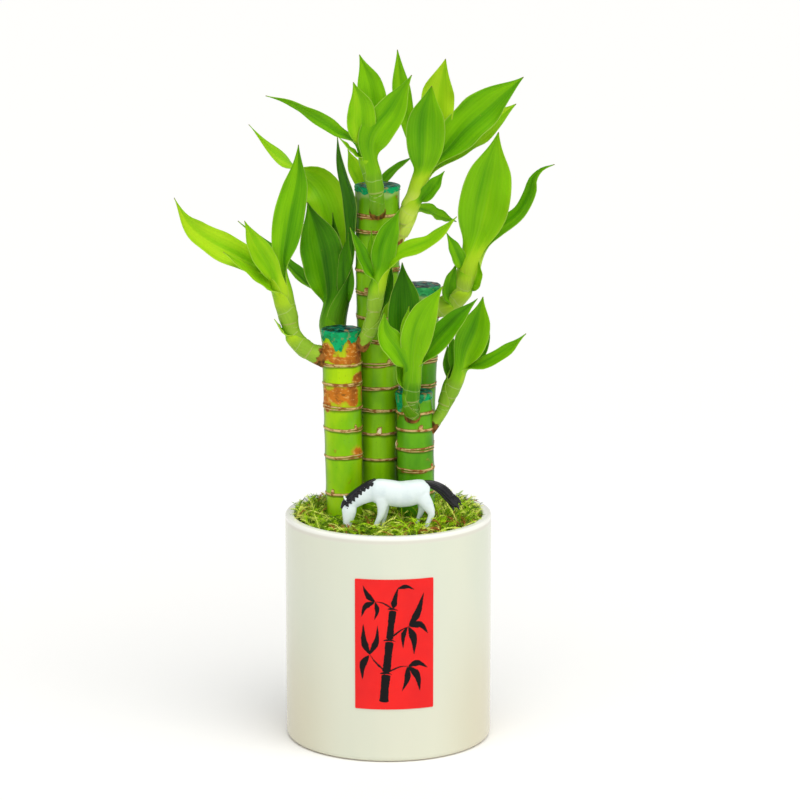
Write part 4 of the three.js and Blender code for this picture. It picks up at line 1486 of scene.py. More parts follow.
@dataclass(frozen=True)
class Clasp:
    """The piece of stem that a leaf's sheath wraps: its line, radii, the leaf's share along it and the gap."""

    line: SmoothLine
    radii: tuple
    share: float
    gap: float

    def centre(self, past: float) -> tuple[Vector, Vector, float]:
        """Reads the stem.

        Args:
            past: distance past the leaf's own place, in millimetres.

        Returns:
            The stem's middle, its direction and its radius there.
        """
        share = self.share + past / self.line.length
        middle, along = self.line.at(share)
        if share > 1:
            middle = middle + along * (share - 1) * self.line.length
        spans = len(self.radii) - 1
        return middle, along, through(self.radii, min(clamp(share) * spans, spans - 1)) * 0.96 + self.gap


@dataclass(frozen=True)
class Leaf:
    """One blade, drawn as the part's own, but with a round fold, waved edges, a thin rim and a sheath.

    The rib runs from base to tip and the upper side faces the given way. The turn twists what lies
    past turn_at. tone_and_shade goes from 0, bright, to 1, deep green: partly the leaf's own green, partly
    painted shade on leaves that lie in shade. The sheath's length and how far it is
    tucked into the sheaths round it are in millimetres.
    """

    rib: tuple
    width: float
    face: tuple
    belly: float = 0.45
    pointed: float = 1.0
    turn: float = 0.0
    turn_at: float = 0.5
    # Partly the leaf's own green, partly painted shade on leaves that lie in shade.
    tone_and_shade: float = 0.4
    sheath: float = 9.0
    tuck: float = 0.0

    CLASP = 0.08
    FOLD = 0.22
    FOLD_ROUND = 0.012
    FREE = 0.34
    TURN_REACH = 0.2
    LEAST_WIDTH = 0.3
    SHEATH_ARC = (1.25, 2.95)
    THICK = 0.72
    RIM_SHARE = 0.3
    SLIM = 7.5
    SLIM_COLUMNS = 10
    COLUMNS = 14
    ROW = 2.0
    FEWEST_ROWS = 18
    MOST_ROWS = 44
    SHEATH_ROWS = 8

    def width_share(self, t: float) -> float:
        """Shapes the blade: a neck, a belly and a tip drawn out to a point.

        Args:
            t: 0 to 1 from the neck to the tip.

        Returns:
            The width there, of the full width.
        """
        rise = self.pointed * (self.belly + self.CLASP) / (1 - self.belly)
        oval = ((t + self.CLASP) / (self.belly + self.CLASP)) ** rise * ((1 - t) / (1 - self.belly)) ** self.pointed
        return oval * (1 - 0.4 * (1 - smooth(t, 0, 0.45))) * (1 - 0.42 * smooth(t, 0.72, 0.97))

    def build(self, name: str, seed: float, clasp: Clasp) -> bpy.types.Object:
        """Bends a grid into the blade with its sheath and gives it thickness.

        Args:
            name: the blade's name.
            seed: 0 to 1, sets its waves and its colour's clouds.
            clasp: the piece of stem that the sheath wraps.

        Returns:
            The closed blade.
        """
        line = SmoothLine(self.rib)
        rows = max(self.FEWEST_ROWS, min(self.MOST_ROWS, round(line.length / self.ROW)))
        every = rows + self.SHEATH_ROWS
        upper = Vector(self.face)
        waves = 2.0 + 2.5 * seed
        frames = []
        for i in range(rows + 1):
            centre, along = line.at(i / rows)
            normal = (upper - along * upper.dot(along)).normalized()
            twist = smooth(i / rows, self.turn_at - self.TURN_REACH, self.turn_at + self.TURN_REACH)
            normal = Quaternion(along, math.radians(self.turn) * twist) @ normal
            frames.append((centre, along.cross(normal), normal))
        middle, up, _ = clasp.centre(0)
        away = line.at(0.3)[0] - middle
        away = (away - up * away.dot(up)).normalized()
        hand = 1 if up.cross(away).dot(frames[0][1]) > 0 else -1

        def wrapped(s: float, t: float) -> Vector:
            """Places a corner of the sheath.

            Args:
                s: -1 to 1 across.
                t: 0 at the neck, below 0 down the sheath.

            Returns:
                The corner's place.
            """
            centre, along, reach = clasp.centre(t * line.length if t > 0 else t * self.sheath)
            out = (away - along * away.dot(along)).normalized()
            arc = lerp(*self.SHEATH_ARC, smooth(-t, -0.15, 1.0)) * s
            reach *= 1 + 0.08 * smooth(t, -0.6, 0.1) + 0.9 * clamp(t, 0, 0.3) - 0.08 * smooth(-t, 0.8, 1)
            return centre + (out * math.cos(arc) + along.cross(out) * hand * math.sin(arc)) * reach

        def blade(s: float, t: float) -> Vector:
            """Places a corner of the blade.

            Args:
                s: -1 to 1 across.
                t: 0 at the neck to 1 at the tip.

            Returns:
                The corner's place.
            """
            centre, across, normal = frames[round(t * rows)]
            half = max(self.width * self.width_share(t), self.LEAST_WIDTH) / 2
            wrap = 0.3 + 0.9 * math.exp(-t / 0.1)
            fold = math.sqrt(s * s + self.FOLD_ROUND) - math.sqrt(self.FOLD_ROUND)
            lift = half * (1 - math.cos(wrap * s)) / wrap + self.FOLD * half * fold
            free = smooth(t, 0.08, 0.3)
            ripple = math.sin(TURN * (waves * t + seed * 3 + (0.37 if s > 0 else 0)))
            lift += half * abs(s) ** 3 * free * (0.1 * ripple - 0.05)
            lift += 0.12 * half * free * rough(t * 5, s * 1.5, seed * 31)
            return centre + across * (half * math.sin(wrap * s) / wrap) + normal * lift

        def along_at(side: float, share: float) -> float:
            """The share of the blade's length, below 0 in the sheath."""
            row = round(share * every) - self.SHEATH_ROWS
            return row / rows if row > 0 else row / self.SHEATH_ROWS

        def place(side: float, share: float) -> Vector:
            """Places a corner of the grid on the leaf.

            Args:
                side: 0 to 1 across.
                share: 0 to 1 along.

            Returns:
                The corner's place.
            """
            s, t = 2 * side - 1, along_at(side, share)
            if t <= 0:
                return wrapped(s, t)
            if t >= self.FREE:
                return blade(s, t)
            return wrapped(s, t).lerp(blade(s, t), smooth(t, 0, self.FREE))

        def thickness(side: float, share: float) -> float:
            """The blade's thickness, of the greatest."""
            return (1 - (2 * side - 1) ** 2) * (1 - 0.6 * share)

        marks = {"thickness": thickness, "along": along_at}
        columns = self.SLIM_COLUMNS if self.width < self.SLIM else self.COLUMNS
        made = bent_grid(name, columns, every, place, marks)
        thick = made.vertex_groups.new(name="thick")
        for vertex, value in zip(made.data.vertices, made.data.attributes["thickness"].data):
            thick.add([vertex.index], value.value, "REPLACE")
        wall = {"thickness": self.THICK * MM, "vertex_group": "thick", "thickness_vertex_group": self.RIM_SHARE}
        apply_modifier(made, "SOLIDIFY", offset=0, **wall)
        made.vertex_groups.clear()
        mark_points(made, "tone_and_shade", self.tone_and_shade)
        mark_points(made, "seed", seed)
        return close(made, ends=False)


@dataclass(frozen=True)
class Shoot:
    """A side shoot: its stem's path and radii, its paleness, how far its brown collar reaches, and its leaves."""

    name: str
    path: tuple
    radii: tuple
    pale: float
    collar: float
    leaves: Mapping[str, Leaf]
    slot: Slot = Slot.LEAF
    blade_finish: Finish = LeafBlade()
    stem_finish: Finish = ShootSkin()

    AROUND = 28
    ROW = 0.45
    FIRST_RING = 3.0
    RING_STEP = 5.2
    RING_UNEVEN = 1.8
    RING_WIDE = 0.3
    RING_RAISED = 0.12
    COLLAR = (1.3, 4.4)
    CLASPS_FROM = 20
    LEAF_STEP = 0.12
    LEAF_SUNK = 0.25

    def rings(self, length: float) -> list[float]:
        """Places the sheath lines along the stem.

        Args:
            length: the stem's length.

        Returns:
            Each line's distance from the stem's start.
        """
        rings = [self.FIRST_RING]
        while rings[-1] < length:
            rings.append(rings[-1] + self.RING_STEP + self.RING_UNEVEN * rough(rings[-1] * 0.7, len(self.name)))
        return rings

    def build_stem(self, end: float) -> bpy.types.Object:
        """Rolls the stem from a grid.

        Args:
            end: the share of its path that it reaches.

        Returns:
            The closed stem.
        """
        line = SmoothLine(self.path)
        rings = self.rings(line.length)
        rows = round(line.length * end / self.ROW)
        spot = line.tube(rows, Vector((0, -1, 0.1)), end)

        def ring_at(around: float, share: float) -> float:
            """Marks the sheath lines.

            Args:
                around: 0 to 1 round the stem.
                share: 0 to 1 along.

            Returns:
                0 beside a line to 1 on it.
            """
            angle, found = TURN * around, 0.0
            for number, ring in enumerate(rings):
                slant = 1.9 * math.sin(angle + 2.3 * number) + 0.4 * rough_round(angle, 1, number)
                found = max(found, bell(share * end * line.length - ring - slant, self.RING_WIDE))
            return found

        def base_at(around: float, share: float) -> float:
            """How much of the brown collar shows."""
            uneven = (1 + 0.55 * rough_round(TURN * around, 1.8, len(self.name))) * self.collar
            return 1 - smooth(share * end * line.length, *(at * uneven for at in self.COLLAR))

        def place(around: float, share: float) -> Vector:
            """Places a corner of the grid on the stem.

            Args:
                around: 0 to 1 round the stem.
                share: 0 to 1 along.

            Returns:
                The corner's place.
            """
            reach = through(self.radii, share * end * (len(self.radii) - 1))
            reach *= 1 + 0.1 * base_at(around, share) + 0.03 * rough_round(TURN * around, 1, share * 6)
            reach += self.RING_RAISED * ring_at(around, share) - 0.1
            return spot(round(share * rows), TURN * around, reach * (1 - 0.5 * smooth(share, 0.8, 1)))

        marks = {"ring": ring_at, "base": base_at, "pale": lambda around, share: self.pale}
        return shade(close(bent_grid("stem_%s" % self.name, self.AROUND, rows, place, marks)), 60)

    def clasps(self) -> dict[str, Clasp]:
        """Finds where each leaf's sheath wraps the stem. What starts lower lies further out.

        Returns:
            Each leaf's clasp, by its name.
        """
        line = SmoothLine(self.path)
        shares = {}
        for name, leaf in self.leaves.items():
            base = Vector(leaf.rib[0])
            places = (percent / 100 for percent in range(self.CLASPS_FROM, 101))
            shares[name] = min(places, key=lambda share: (line.at(share)[0] - base).length)
        order = sorted(shares, key=shares.get, reverse=True)
        gaps = {}
        for rank, name in enumerate(order):
            gaps[name] = self.LEAF_STEP * rank - self.LEAF_SUNK - self.leaves[name].tuck
        return {name: Clasp(line, self.radii, shares[name], gaps[name]) for name in order}

    def dress(self) -> None:
        """Makes the shoot's leaves and its stem and hands them in."""
        clasps, blades = self.clasps(), []
        for number, (name, leaf) in enumerate(self.leaves.items()):
            seed = (0.37 * number + 0.173 * len(self.name) + 0.61 * len(name)) % 1.0
            blades.append(leaf.build(name, seed, clasps[name]))
            mark_points(blades[-1], "pale", self.pale)
        node = "shoot_%s" % self.name
        leaves = shade(join("leaves_%s" % self.name, blades), 50)
        hand_in(leaves, self.blade_finish, self.slot, node)
        stem = self.build_stem(max(clasp.share for clasp in clasps.values()))
        hand_in(stem, self.stem_finish, self.slot, node)


SHOOTS = (
    Shoot(
        "front_left_out",
        ((-26.5, -11.5, 171), (-34.5, -12, 174.5), (-40.5, -13, 181.5), (-43, -14, 191.5), (-45.2, -14, 200.5)),
        (4.3, 3.8, 3.5, 4.1, 2.2), 0.34, 1.6,
        {
            "long": Leaf(((-45, -14, 198), (-55.5, -16, 211), (-75.5, -20, 223), (-84.5, -23, 231),
                (-90, -25, 242.5)), 13.5, (0.3, -0.9, 0.5), belly=0.5, pointed=1.25, tone_and_shade=0.02),
            "low": Leaf(((-44.5, -15.2, 195.5), (-55.5, -21, 207.5), (-62.5, -24, 213.5), (-69.5, -26, 219.5)), 8.5,
                (0.3, -0.6, 1), tone_and_shade=0.18),
            "near": Leaf(((-45, -16, 199.5), (-51, -19, 212.5), (-56.5, -22, 222.5), (-60.5, -24, 232.5)), 10.5,
                (0.5, -1, 0.2), belly=0.5, tone_and_shade=0.2),
            "tall": Leaf(((-45.5, -13, 199), (-45, -12, 213), (-42, -10, 233), (-39, -8, 247.5), (-38, -7, 262.5)),
                13.4, TO_FRONT, belly=0.5, tone_and_shade=0.48),
            "bract": Leaf(((-40.5, -14, 180), (-45, -16, 183), (-48.5, -17, 189)), 5, (1, 0, 0.6), tone_and_shade=0.1),
        },
    ),
    Shoot(
        "back_left",
        ((-22, 8, 146), (-24, 3.2, 156), (-24, 2.6, 168), (-24, 2.6, 180), (-23.5, 3.2, 188), (-22, 4.6, 194.5)),
        (2.6, 2.6, 2.6, 4.2, 5.1, 2), 0.25, 1.0,
        {
            "thin": Leaf(((-23, 5, 185.5), (-34, 12, 197), (-48, 18, 210), (-65.5, 22, 225)), 9, (0.5, -0.35, 1),
                tone_and_shade=0.55, tuck=1.0),
            "broad": Leaf(((-23, 2.5, 182.5), (-26, 2, 195.5), (-29, 1, 215), (-34.5, -2, 237)), 19, (0.2, -1, 0.1),
                belly=0.55, tone_and_shade=0.72),
            "inner": Leaf(((-20, 2.5, 184), (-18, 0.5, 198.5), (-18, -1.5, 212.5), (-17, -2.5, 224)), 8,
                (-0.4, -1, 0.1), tone_and_shade=0.8),
            "far": Leaf(((-20.5, 6, 193), (-22, 12.5, 217), (-29.5, 19, 240), (-42, 22, 250.5), (-52, 23, 258),
                (-60.5, 24, 267)), 18, (0.1, -1, 0.3), belly=0.42, pointed=1.35, turn=-160, turn_at=0.68, tone_and_shade=0.18,
                tuck=1.8),
            "young": Leaf(((-21, 6, 193), (-22, 7.5, 212.5), (-24, 8, 231)), 5, TO_FRONT, tone_and_shade=0.85, sheath=3,
                tuck=1.6),
            "upright": Leaf(((-19.5, 2, 184), (-16, -2.5, 212), (-15.5, -5, 236.5), (-20.5, -6.5, 257),
                (-21.5, -7, 266)), 8.5, (-0.8, -0.7, 0), belly=0.66, tone_and_shade=1.0),
        },
        Slot.SHADED_LEAF,
    ),
    Shoot(
        "centre_back", ((-7.5, 8, 221), (-9, 12.5, 226), (-9.5, 14.5, 233), (-9.5, 15, 238.5)),
        (3.8, 3.4, 3.2, 1.6), 0.3, 1.0,
        {
            "left": Leaf(((-9.5, 15, 237), (-14, 16, 247.5), (-17.5, 18, 257)), 7.5, (0.4, -1, 0.6), tone_and_shade=0.15),
            "right": Leaf(((-8, 14, 235.5), (1.5, 13.5, 247.5), (11, 12, 255)), 5, (-0.3, -0.7, 0.8), tone_and_shade=0.55),
            "away": Leaf(((-9.5, 14.5, 235.5), (-9, 30, 246), (-9, 44, 253)), 11, (0, -0.5, 1), tone_and_shade=0.6),
            "drooping": Leaf(((-9, 15, 234.5), (-3, 31, 234.5), (1.5, 44, 224.5)), 10, (0, 0.2, 1), tone_and_shade=0.6),
        },
        Slot.SHADED_LEAF,
    ),
    Shoot(
        "centre_front", ((-4.5, -8, 233), (-4.7, -13.8, 240), (-5.5, -15, 246), (-8.5, -15, 257), (-8.8, -15, 259.5)),
        (3.4, 3.2, 3.3, 3.5, 1.8), 0.1, 1.0,
        {
            "left": Leaf(((-9.5, -15, 257), (-18.5, -17.5, 267), (-31, -21, 277), (-41, -25, 283), (-51, -28, 286)),
                6.2, (0.2, -1, 0.8), belly=0.4, pointed=0.95, turn=-75, tone_and_shade=0.5),
            "bract": Leaf(((-9.5, -15.5, 256), (-16, -19, 262), (-20.5, -21, 267.5)), 4.5, (0.5, -0.4, 1), tone_and_shade=0.3),
            "front": Leaf(((-9.5, -16, 257.5), (-11, -19, 271.5), (-11.5, -20.5, 281), (-14.5, -22, 291)), 12.5,
                TO_FRONT, belly=0.5, tone_and_shade=0.3),
            "tall": Leaf(((-8.5, -14.5, 257), (-6.5, -12, 273.5), (-7.5, -10, 287), (-12, -8, 301)), 12.5,
                (0.15, -1, 0.1), belly=0.55, tone_and_shade=0.4),
            "folded": Leaf(((-7, -15, 252), (-6, -20, 266.5), (1.5, -21, 278), (10, -22, 294)), 15, (-0.35, -1, 0.1),
                belly=0.42, tone_and_shade=0.42),
        },
    ),
    Shoot(
        "centre_right", ((2.5, -1, 216), (6.5, -2, 225), (8.5, -2, 233.5), (11.5, -3, 240.5), (13.2, -3.4, 246)),
        (2.4, 2.3, 3.6, 3.2, 2), 1.0, 2.0,
        {
            "front": Leaf(((13.5, -3.5, 242.5), (15.5, -8, 259.5), (16, -10, 273.5), (18.5, -10, 288)), 16.8,
                (0.1, -1, 0), belly=0.56, pointed=0.85, tone_and_shade=0.45),
            "tall": Leaf(((14.5, -2, 244.5), (20.5, 2, 267.5), (21.5, 3, 284.5), (24.5, 2, 298)), 14.5, TO_FRONT,
                belly=0.66, tone_and_shade=-0.04),
            "right": Leaf(((14.5, -3, 244), (26.5, -2, 261.5), (41, -2, 276.5), (57.5, -4, 291)), 18,
                (-0.35, -1, 0.4), belly=0.55, tone_and_shade=0.5),
            "right_under": Leaf(((14, -2, 243), (27.5, 5, 257.5), (42, 10, 268), (55, 12, 277.5)), 14,
                (-0.3, -0.9, 0.5), belly=0.6, tone_and_shade=0.08),
            "small": Leaf(((11, -4.5, 235), (18.5, -8, 243.5), (24, -9, 251.5)), 7, (-0.5, -1, 0.3), belly=0.5,
                tone_and_shade=0.6),
            "low": Leaf(((8.5, -1, 231.5), (15.5, 4, 232.5), (21.5, 8, 229.5), (29.5, 11, 226.5)), 8, (0, -0.8, 1),
                belly=0.5, tone_and_shade=0.4),
            "slim": Leaf(((13.5, -2, 243), (10, 3, 263), (5.5, 5, 285), (4, 6, 301.5)), 8, (0.1, -1, 0.1), belly=0.68,
                tone_and_shade=0.35),
        },
    ),
    Shoot(
        "back_right", ((19, 8.5, 188), (26.5, 8, 191), (31, 7, 197), (34, 6, 204.5), (35.6, 5.4, 211)),
        (3.8, 4.2, 4.8, 4.8, 3), 0.6, 1.0,
        {
            "tall": Leaf(((34.5, 5.5, 205.5), (38.5, 3, 222), (42.5, -0.5, 242), (47, -4, 267.5)), 22, (-0.1, -1, 0),
                belly=0.52, tone_and_shade=0.3),
            "right": Leaf(((35.5, 6, 205.5), (47.5, 9, 222.5), (57.3, 9.5, 230.7), (61.6, 9, 239.3),
                (62.8, 8.6, 245.2), (66.2, 8, 249.6), (71.5, 7, 252)), 8.2, (-0.5, -0.7, 0.5), belly=0.5, tone_and_shade=0.5),
            "left": Leaf(((34, 4.5, 203), (29, -0.5, 215), (25, -2.5, 224)), 7, (0.6, -1, 0), tone_and_shade=0.5),
            "low": Leaf(((27, 7, 187.5), (26, 2, 200), (29.5, 0, 210.5)), 7, (0.5, -1, 0), tone_and_shade=0.6),
            "sheath": Leaf(((32.5, 6, 195), (38, 3, 202.5), (39, 2, 212)), 7, (-0.6, -0.8, 0), tone_and_shade=0.2),
        },
    ),
    Shoot(
        "front_left_in",
        ((-12.2, -14, 176.5), (-9.2, -16.4, 181.5), (-6.4, -18.4, 190), (-4.6, -19.8, 203), (-3.6, -20, 208)),
        (3.3, 3, 3.1, 3.2, 1.8), 0.34, 1.5,
        {
            "right": Leaf(((-4, -20, 203), (4.5, -23, 217), (18, -27, 224), (29, -28, 235)), 9.5, (-0.3, -0.6, 0.9),
                turn=40, turn_at=0.8, tone_and_shade=0.2),
            "middle": Leaf(((-3.5, -19.5, 204), (-1.5, -21.5, 222), (5, -21, 237)), 11, (0.2, -1, 0), tone_and_shade=0.55),
            "narrow": Leaf(((-4.5, -19.5, 204), (-7, -16, 218), (-7, -15, 227)), 4.5, TO_FRONT, tone_and_shade=0.45),
            "left": Leaf(((-4, -20.5, 202), (-11, -24, 217.5), (-16, -26, 230)), 7, (0.6, -0.8, 0.4), tone_and_shade=0.65),
            "inner": Leaf(((-4.5, -19, 190.5), (-0.5, -14.5, 201), (1.5, -13, 213)), 6, (-0.4, -1, 0), tone_and_shade=0.9),
        },
    ),
    Shoot(
        "front_right_front",
        ((10.5, -15.8, 146), (10, -21.8, 153), (10, -23.6, 160), (10.5, -24, 169), (10.8, -24.3, 172)),
        (3.4, 3.3, 3.3, 3.6, 1.8), -0.12, 1.0,
        {
            "back": Leaf(((10, -23, 164.5), (7.5, -19.5, 184.5), (7, -18, 199.5), (6, -17, 213.5)), 15, (0, -1, 0.1),
                belly=0.5, tone_and_shade=0.92),
            "left": Leaf(((10, -25, 164), (4.5, -30, 176.5), (-1.5, -33, 186.5), (-1.5, -34, 195)), 11,
                (0.4, -1, 0.3), belly=0.55, tone_and_shade=0.42),
            "middle": Leaf(((10.5, -25, 164), (11.5, -30, 180.5), (15.5, -33.5, 194), (23, -35, 206.5)), 13.5,
                (-0.1, -1, 0.1), belly=0.5, tone_and_shade=0.32),
            "right": Leaf(((11, -24.5, 165), (18, -25, 177), (25, -24.5, 185.5), (38, -23, 199)), 11.5,
                (-0.5, -0.8, 0.3), belly=0.45, tone_and_shade=0.62),
            "young": Leaf(((10, -23.5, 170.5), (7.5, -22.5, 185.5), (9, -21.5, 195.5)), 5, TO_FRONT, tone_and_shade=0.3),
            "sheath": Leaf(((10, -23, 156.5), (5, -22.5, 166), (4.5, -22.5, 174)), 6, (0.7, -0.7, 0), tone_and_shade=0.45),
        },
    ),
    Shoot(
        "front_right_out",
        ((17.5, -10, 139), (22.5, -10, 146), (25.5, -10, 153), (28.5, -11, 160.5), (29.8, -11.5, 165)),
        (2.7, 2.6, 3, 3.6, 2), 0.26, 1.4,
        {
            "tall": Leaf(((29, -12.5, 162.5), (34, -14.5, 175), (38.5, -16, 187.5), (40.5, -16, 198.5)), 14,
                (-0.2, -1, 0), belly=0.5, tone_and_shade=0.42),
            "behind": Leaf(((30, -11, 163), (39.5, -8, 176), (41.5, -6, 190)), 9, (-0.4, -1, 0), tone_and_shade=0.75),
            "right": Leaf(((30, -12, 163), (40.5, -14, 168.5), (50.5, -15.5, 174.5), (59, -16, 182.5)), 6.8,
                (-0.3, -0.8, 0.7), belly=0.5, tone_and_shade=0.5),
            "narrow": Leaf(((27.5, -10.5, 158.5), (25.5, -7.5, 166.5), (25.5, -6, 175.5)), 5, (0.5, -1, 0), tone_and_shade=0.7),
            "young": Leaf(((29, -11, 162), (28, -8, 172), (27.5, -6.5, 180.5)), 5, TO_FRONT, tone_and_shade=0.6),
        },
    ),
)


# Moss


class Tint(Enum):
    """Colours of moss strands, as the mark that their finish reads."""

    SHADE = 0.12
    GREEN = 0.4
    YELLOW = 0.72
    BROWN = 1.0


@dataclass(frozen=True)
class Sprig:
    """One feathery strand of moss: a bent stem with leaflets, modelled once and copied."""

    length: float
    rise: float
    curl: float
    leaflets: int
    seed: int

    ROWS = 4

    def build(self, name: str) -> bpy.types.Object:
        """Makes the strand, which starts at the origin and runs along X.

        Args:
            name: the strand's name.

        Returns:
            The strand.
        """
        draw = random.Random(self.seed)
        bends = ((0, 0, 0), (0.4, 0.35, 1), (0.75, 1, 1.05), (1, 1.7, 0.55))
        line = SmoothLine([(self.length * x, self.curl * y, self.rise * z) for x, y, z in bends])
        spot = line.tube(self.ROWS, Vector((0, 1, 0)))

        def place(around: float, share: float) -> Vector:
            """Places a corner of the grid on the strand."""
            return spot(round(share * self.ROWS), TURN * around, lerp(0.26, 0.12, share))

        parts = [close(bent_grid(name, 3, self.ROWS, place))]
        for i in range(self.leaflets):
            share = lerp(0.12, 1.0, (i + 0.5) / self.leaflets)
            centre, along = line.at(share)
            out = Vector((draw.uniform(-0.3, 0.3), (1 if i % 2 else -1), draw.uniform(-0.2, 0.7))).normalized()
            reach = lerp(3.2, 1.6, share) * draw.uniform(0.7, 1.3)
            direction = (along * draw.uniform(0.7, 1.5) + out).normalized()
            size = {"vertices": 3, "radius1": draw.uniform(0.16, 0.26) * MM, "radius2": 0, "depth": reach * MM}
            leaflet = add("cone", "leaflet", end_fill_type="NGON", **size)
            leaflet.rotation_mode = "QUATERNION"
            leaflet.rotation_quaternion = direction.to_track_quat("Z", "Y")
            leaflet.location = (centre + direction * reach * 0.46) * MM
            parts.append(settle(leaflet))
        return join(name, parts)


@dataclass(frozen=True)
class Moss:
    """A mounded bed of sheet moss between the stalks, with strands over it, up to the lip."""

    pot: Pot
    stalks: tuple
    under: float = 92.3
    edge: float = 98.4
    mound_height: float = 5.2
    mound_spread: float = 20.0
    tufts: tuple = ((1.0, 20, -15, 12), (0.9, -33, -10, 10))
    dry_spots: tuple = ((0.16, 4, -30, 16), (0.05, 30, -22, 12))
    dry_anywhere: float = 0.05
    strands: int = 2700
    seed: int = 11
    bed_around: int = 96
    bed_rows: int = 34
    bed_side_rows: int = 4
    lip_room: float = 1.4
    front_from: float = -8.0
    bedding: Finish = MossBeddingAndShade()
    finish: Finish = SheetMoss()
    sprigs: tuple = (
        Sprig(9.0, 1.6, 1.2, 13, 1),
        Sprig(7.0, 1.1, -1.6, 12, 2),
        Sprig(11.5, 2.2, 2.4, 14, 3),
        Sprig(6.0, 1.8, 0.4, 11, 4),
        Sprig(8.5, 0.7, -2.6, 13, 5),
        Sprig(13.5, 1.4, -1.0, 14, 6),
    )

    def top(self, x: float, y: float) -> float:
        """Finds the moss's height.

        Args:
            x: the place.
            y: the place.

        Returns:
            The height.
        """
        distance = math.hypot(x - 1, y - 2) / self.mound_spread
        bumps = math.sin(x * 0.9 + 1.3 * math.sin(y * 0.6)) * math.cos(y * 0.8 + 0.7 * math.sin(x * 0.5))
        return self.edge + self.mound_height * math.exp(-distance * distance) + 0.55 * bumps

    def build_bed(self) -> bpy.types.Object:
        """Rolls the dark layer below the strands.

        Returns:
            The closed bed.
        """
        reach = self.pot.inner_radius - 0.25
        rows, side_rows = self.bed_rows, self.bed_side_rows

        def place(side: float, share: float) -> Vector:
            """Places a corner of the grid on the bed.

            Args:
                side: 0 to 1 round the shape.
                share: 0 to 1 along.

            Returns:
                The corner's place.
            """
            angle, row = TURN * side, round(share * rows)
            low = max(0.0, 1 - max(row - 1, 0) / side_rows)
            radius = reach * (row if row <= 1 else min(1.0, (rows - row) / (rows - 1 - side_rows)))
            x, y = radius * math.cos(angle), radius * math.sin(angle)
            high = self.top(x, y) - 1.5 + 0.5 * rough(x * 0.5, y * 0.5) - 0.5 * smooth(radius, reach - 5, reach)
            return Vector((x, y, lerp(high, self.under, low)))

        return shade(close(bent_grid("moss_bed", self.bed_around, rows, place)), 80)

    def _free(self, x: float, y: float, room: float = 0.2) -> bool:
        """Whether a place keeps clear of every stalk's foot."""
        return all(math.hypot(x - s.foot[0], y - s.foot[1]) > s.foot_radius + room for s in self.stalks)

    def _tint(self, draw: random.Random, x: float, y: float) -> Tint:
        """Picks a strand's colour: brown bits gather at the front middle and at the right.

        Args:
            draw: the strands' own random numbers.
            x: where the strand starts.
            y: where the strand starts.

        Returns:
            The colour.
        """
        if draw.random() < self.dry_anywhere + gathered(self.dry_spots, x, y):
            return Tint.BROWN
        return draw.choices((Tint.SHADE, Tint.GREEN, Tint.YELLOW), (0.34, 0.34, 0.32))[0]

    def build_strands(self) -> list[bpy.types.Object]:
        """Copies the strands over the bed.

        Returns:
            The strands of the back and of the front half.
        """
        draw = random.Random(self.seed)
        models = [sprig.build("sprig_%d" % i) for i, sprig in enumerate(self.sprigs)]
        halves: tuple[list, list] = ([], [])
        reach = self.pot.inner_radius
        while len(halves[0]) + len(halves[1]) < self.strands:
            radius, bearing = (reach - 0.6) * math.sqrt(draw.random()), draw.uniform(0, TURN)
            x, y = radius * math.cos(bearing), radius * math.sin(bearing)
            if not self._free(x, y):
                continue
            at_edge = smooth(radius, reach - 7, reach - 1)
            heading = draw.uniform(0, TURN)
            if at_edge > 0.3 and draw.random() < 0.75:
                heading = bearing + draw.uniform(0.9, TURN - 0.9)
            pitch = math.radians(draw.uniform(-6, 32))
            size = draw.uniform(0.55, 1.0)
            tuft = gathered(self.tufts, x, y)
            lift = draw.uniform(-1.8, 1.0) + 3.0 * tuft * draw.random()
            if draw.random() < 0.6 * tuft:
                pitch += math.radians(draw.uniform(15, 55))
            turn = Matrix.Rotation(heading, 4, "Z") @ Matrix.Rotation(-pitch, 4, "Y")
            turn = turn @ Matrix.Rotation(draw.uniform(-0.7, 0.7), 4, "X")
            spot = Vector((x, y, self.top(x, y) - 0.4 + lift + 0.2 * at_edge)) * MM
            model = draw.choice(models)
            set_down = Matrix.Translation(spot) @ turn @ Matrix.Scale(size, 4)
            widest = max((set_down @ v.co).xy.length for v in model.data.vertices)
            if widest > (self.pot.radius - self.lip_room) * MM:
                continue
            strand = bpy.data.objects.new("strand", model.data.copy())
            bpy.context.scene.collection.objects.link(strand)
            strand.matrix_world = set_down
            mark_points(strand, "tint", self._tint(draw, x, y).value + draw.uniform(-0.08, 0.08))
            halves[0 if y > self.front_from else 1].append(strand)
        pick(*models)
        bpy.ops.object.delete()
        return [settle(join(name, half)) for name, half in zip(("moss_strands_back", "moss_strands_front"), halves)]

    def dress(self) -> None:
        """Makes the moss and hands it in."""
        hand_in(self.build_bed(), self.bedding, Slot.MOSS, "moss")
        for strands in self.build_strands():
            hand_in(strands, self.finish, Slot.MOSS, "moss")


# Horse


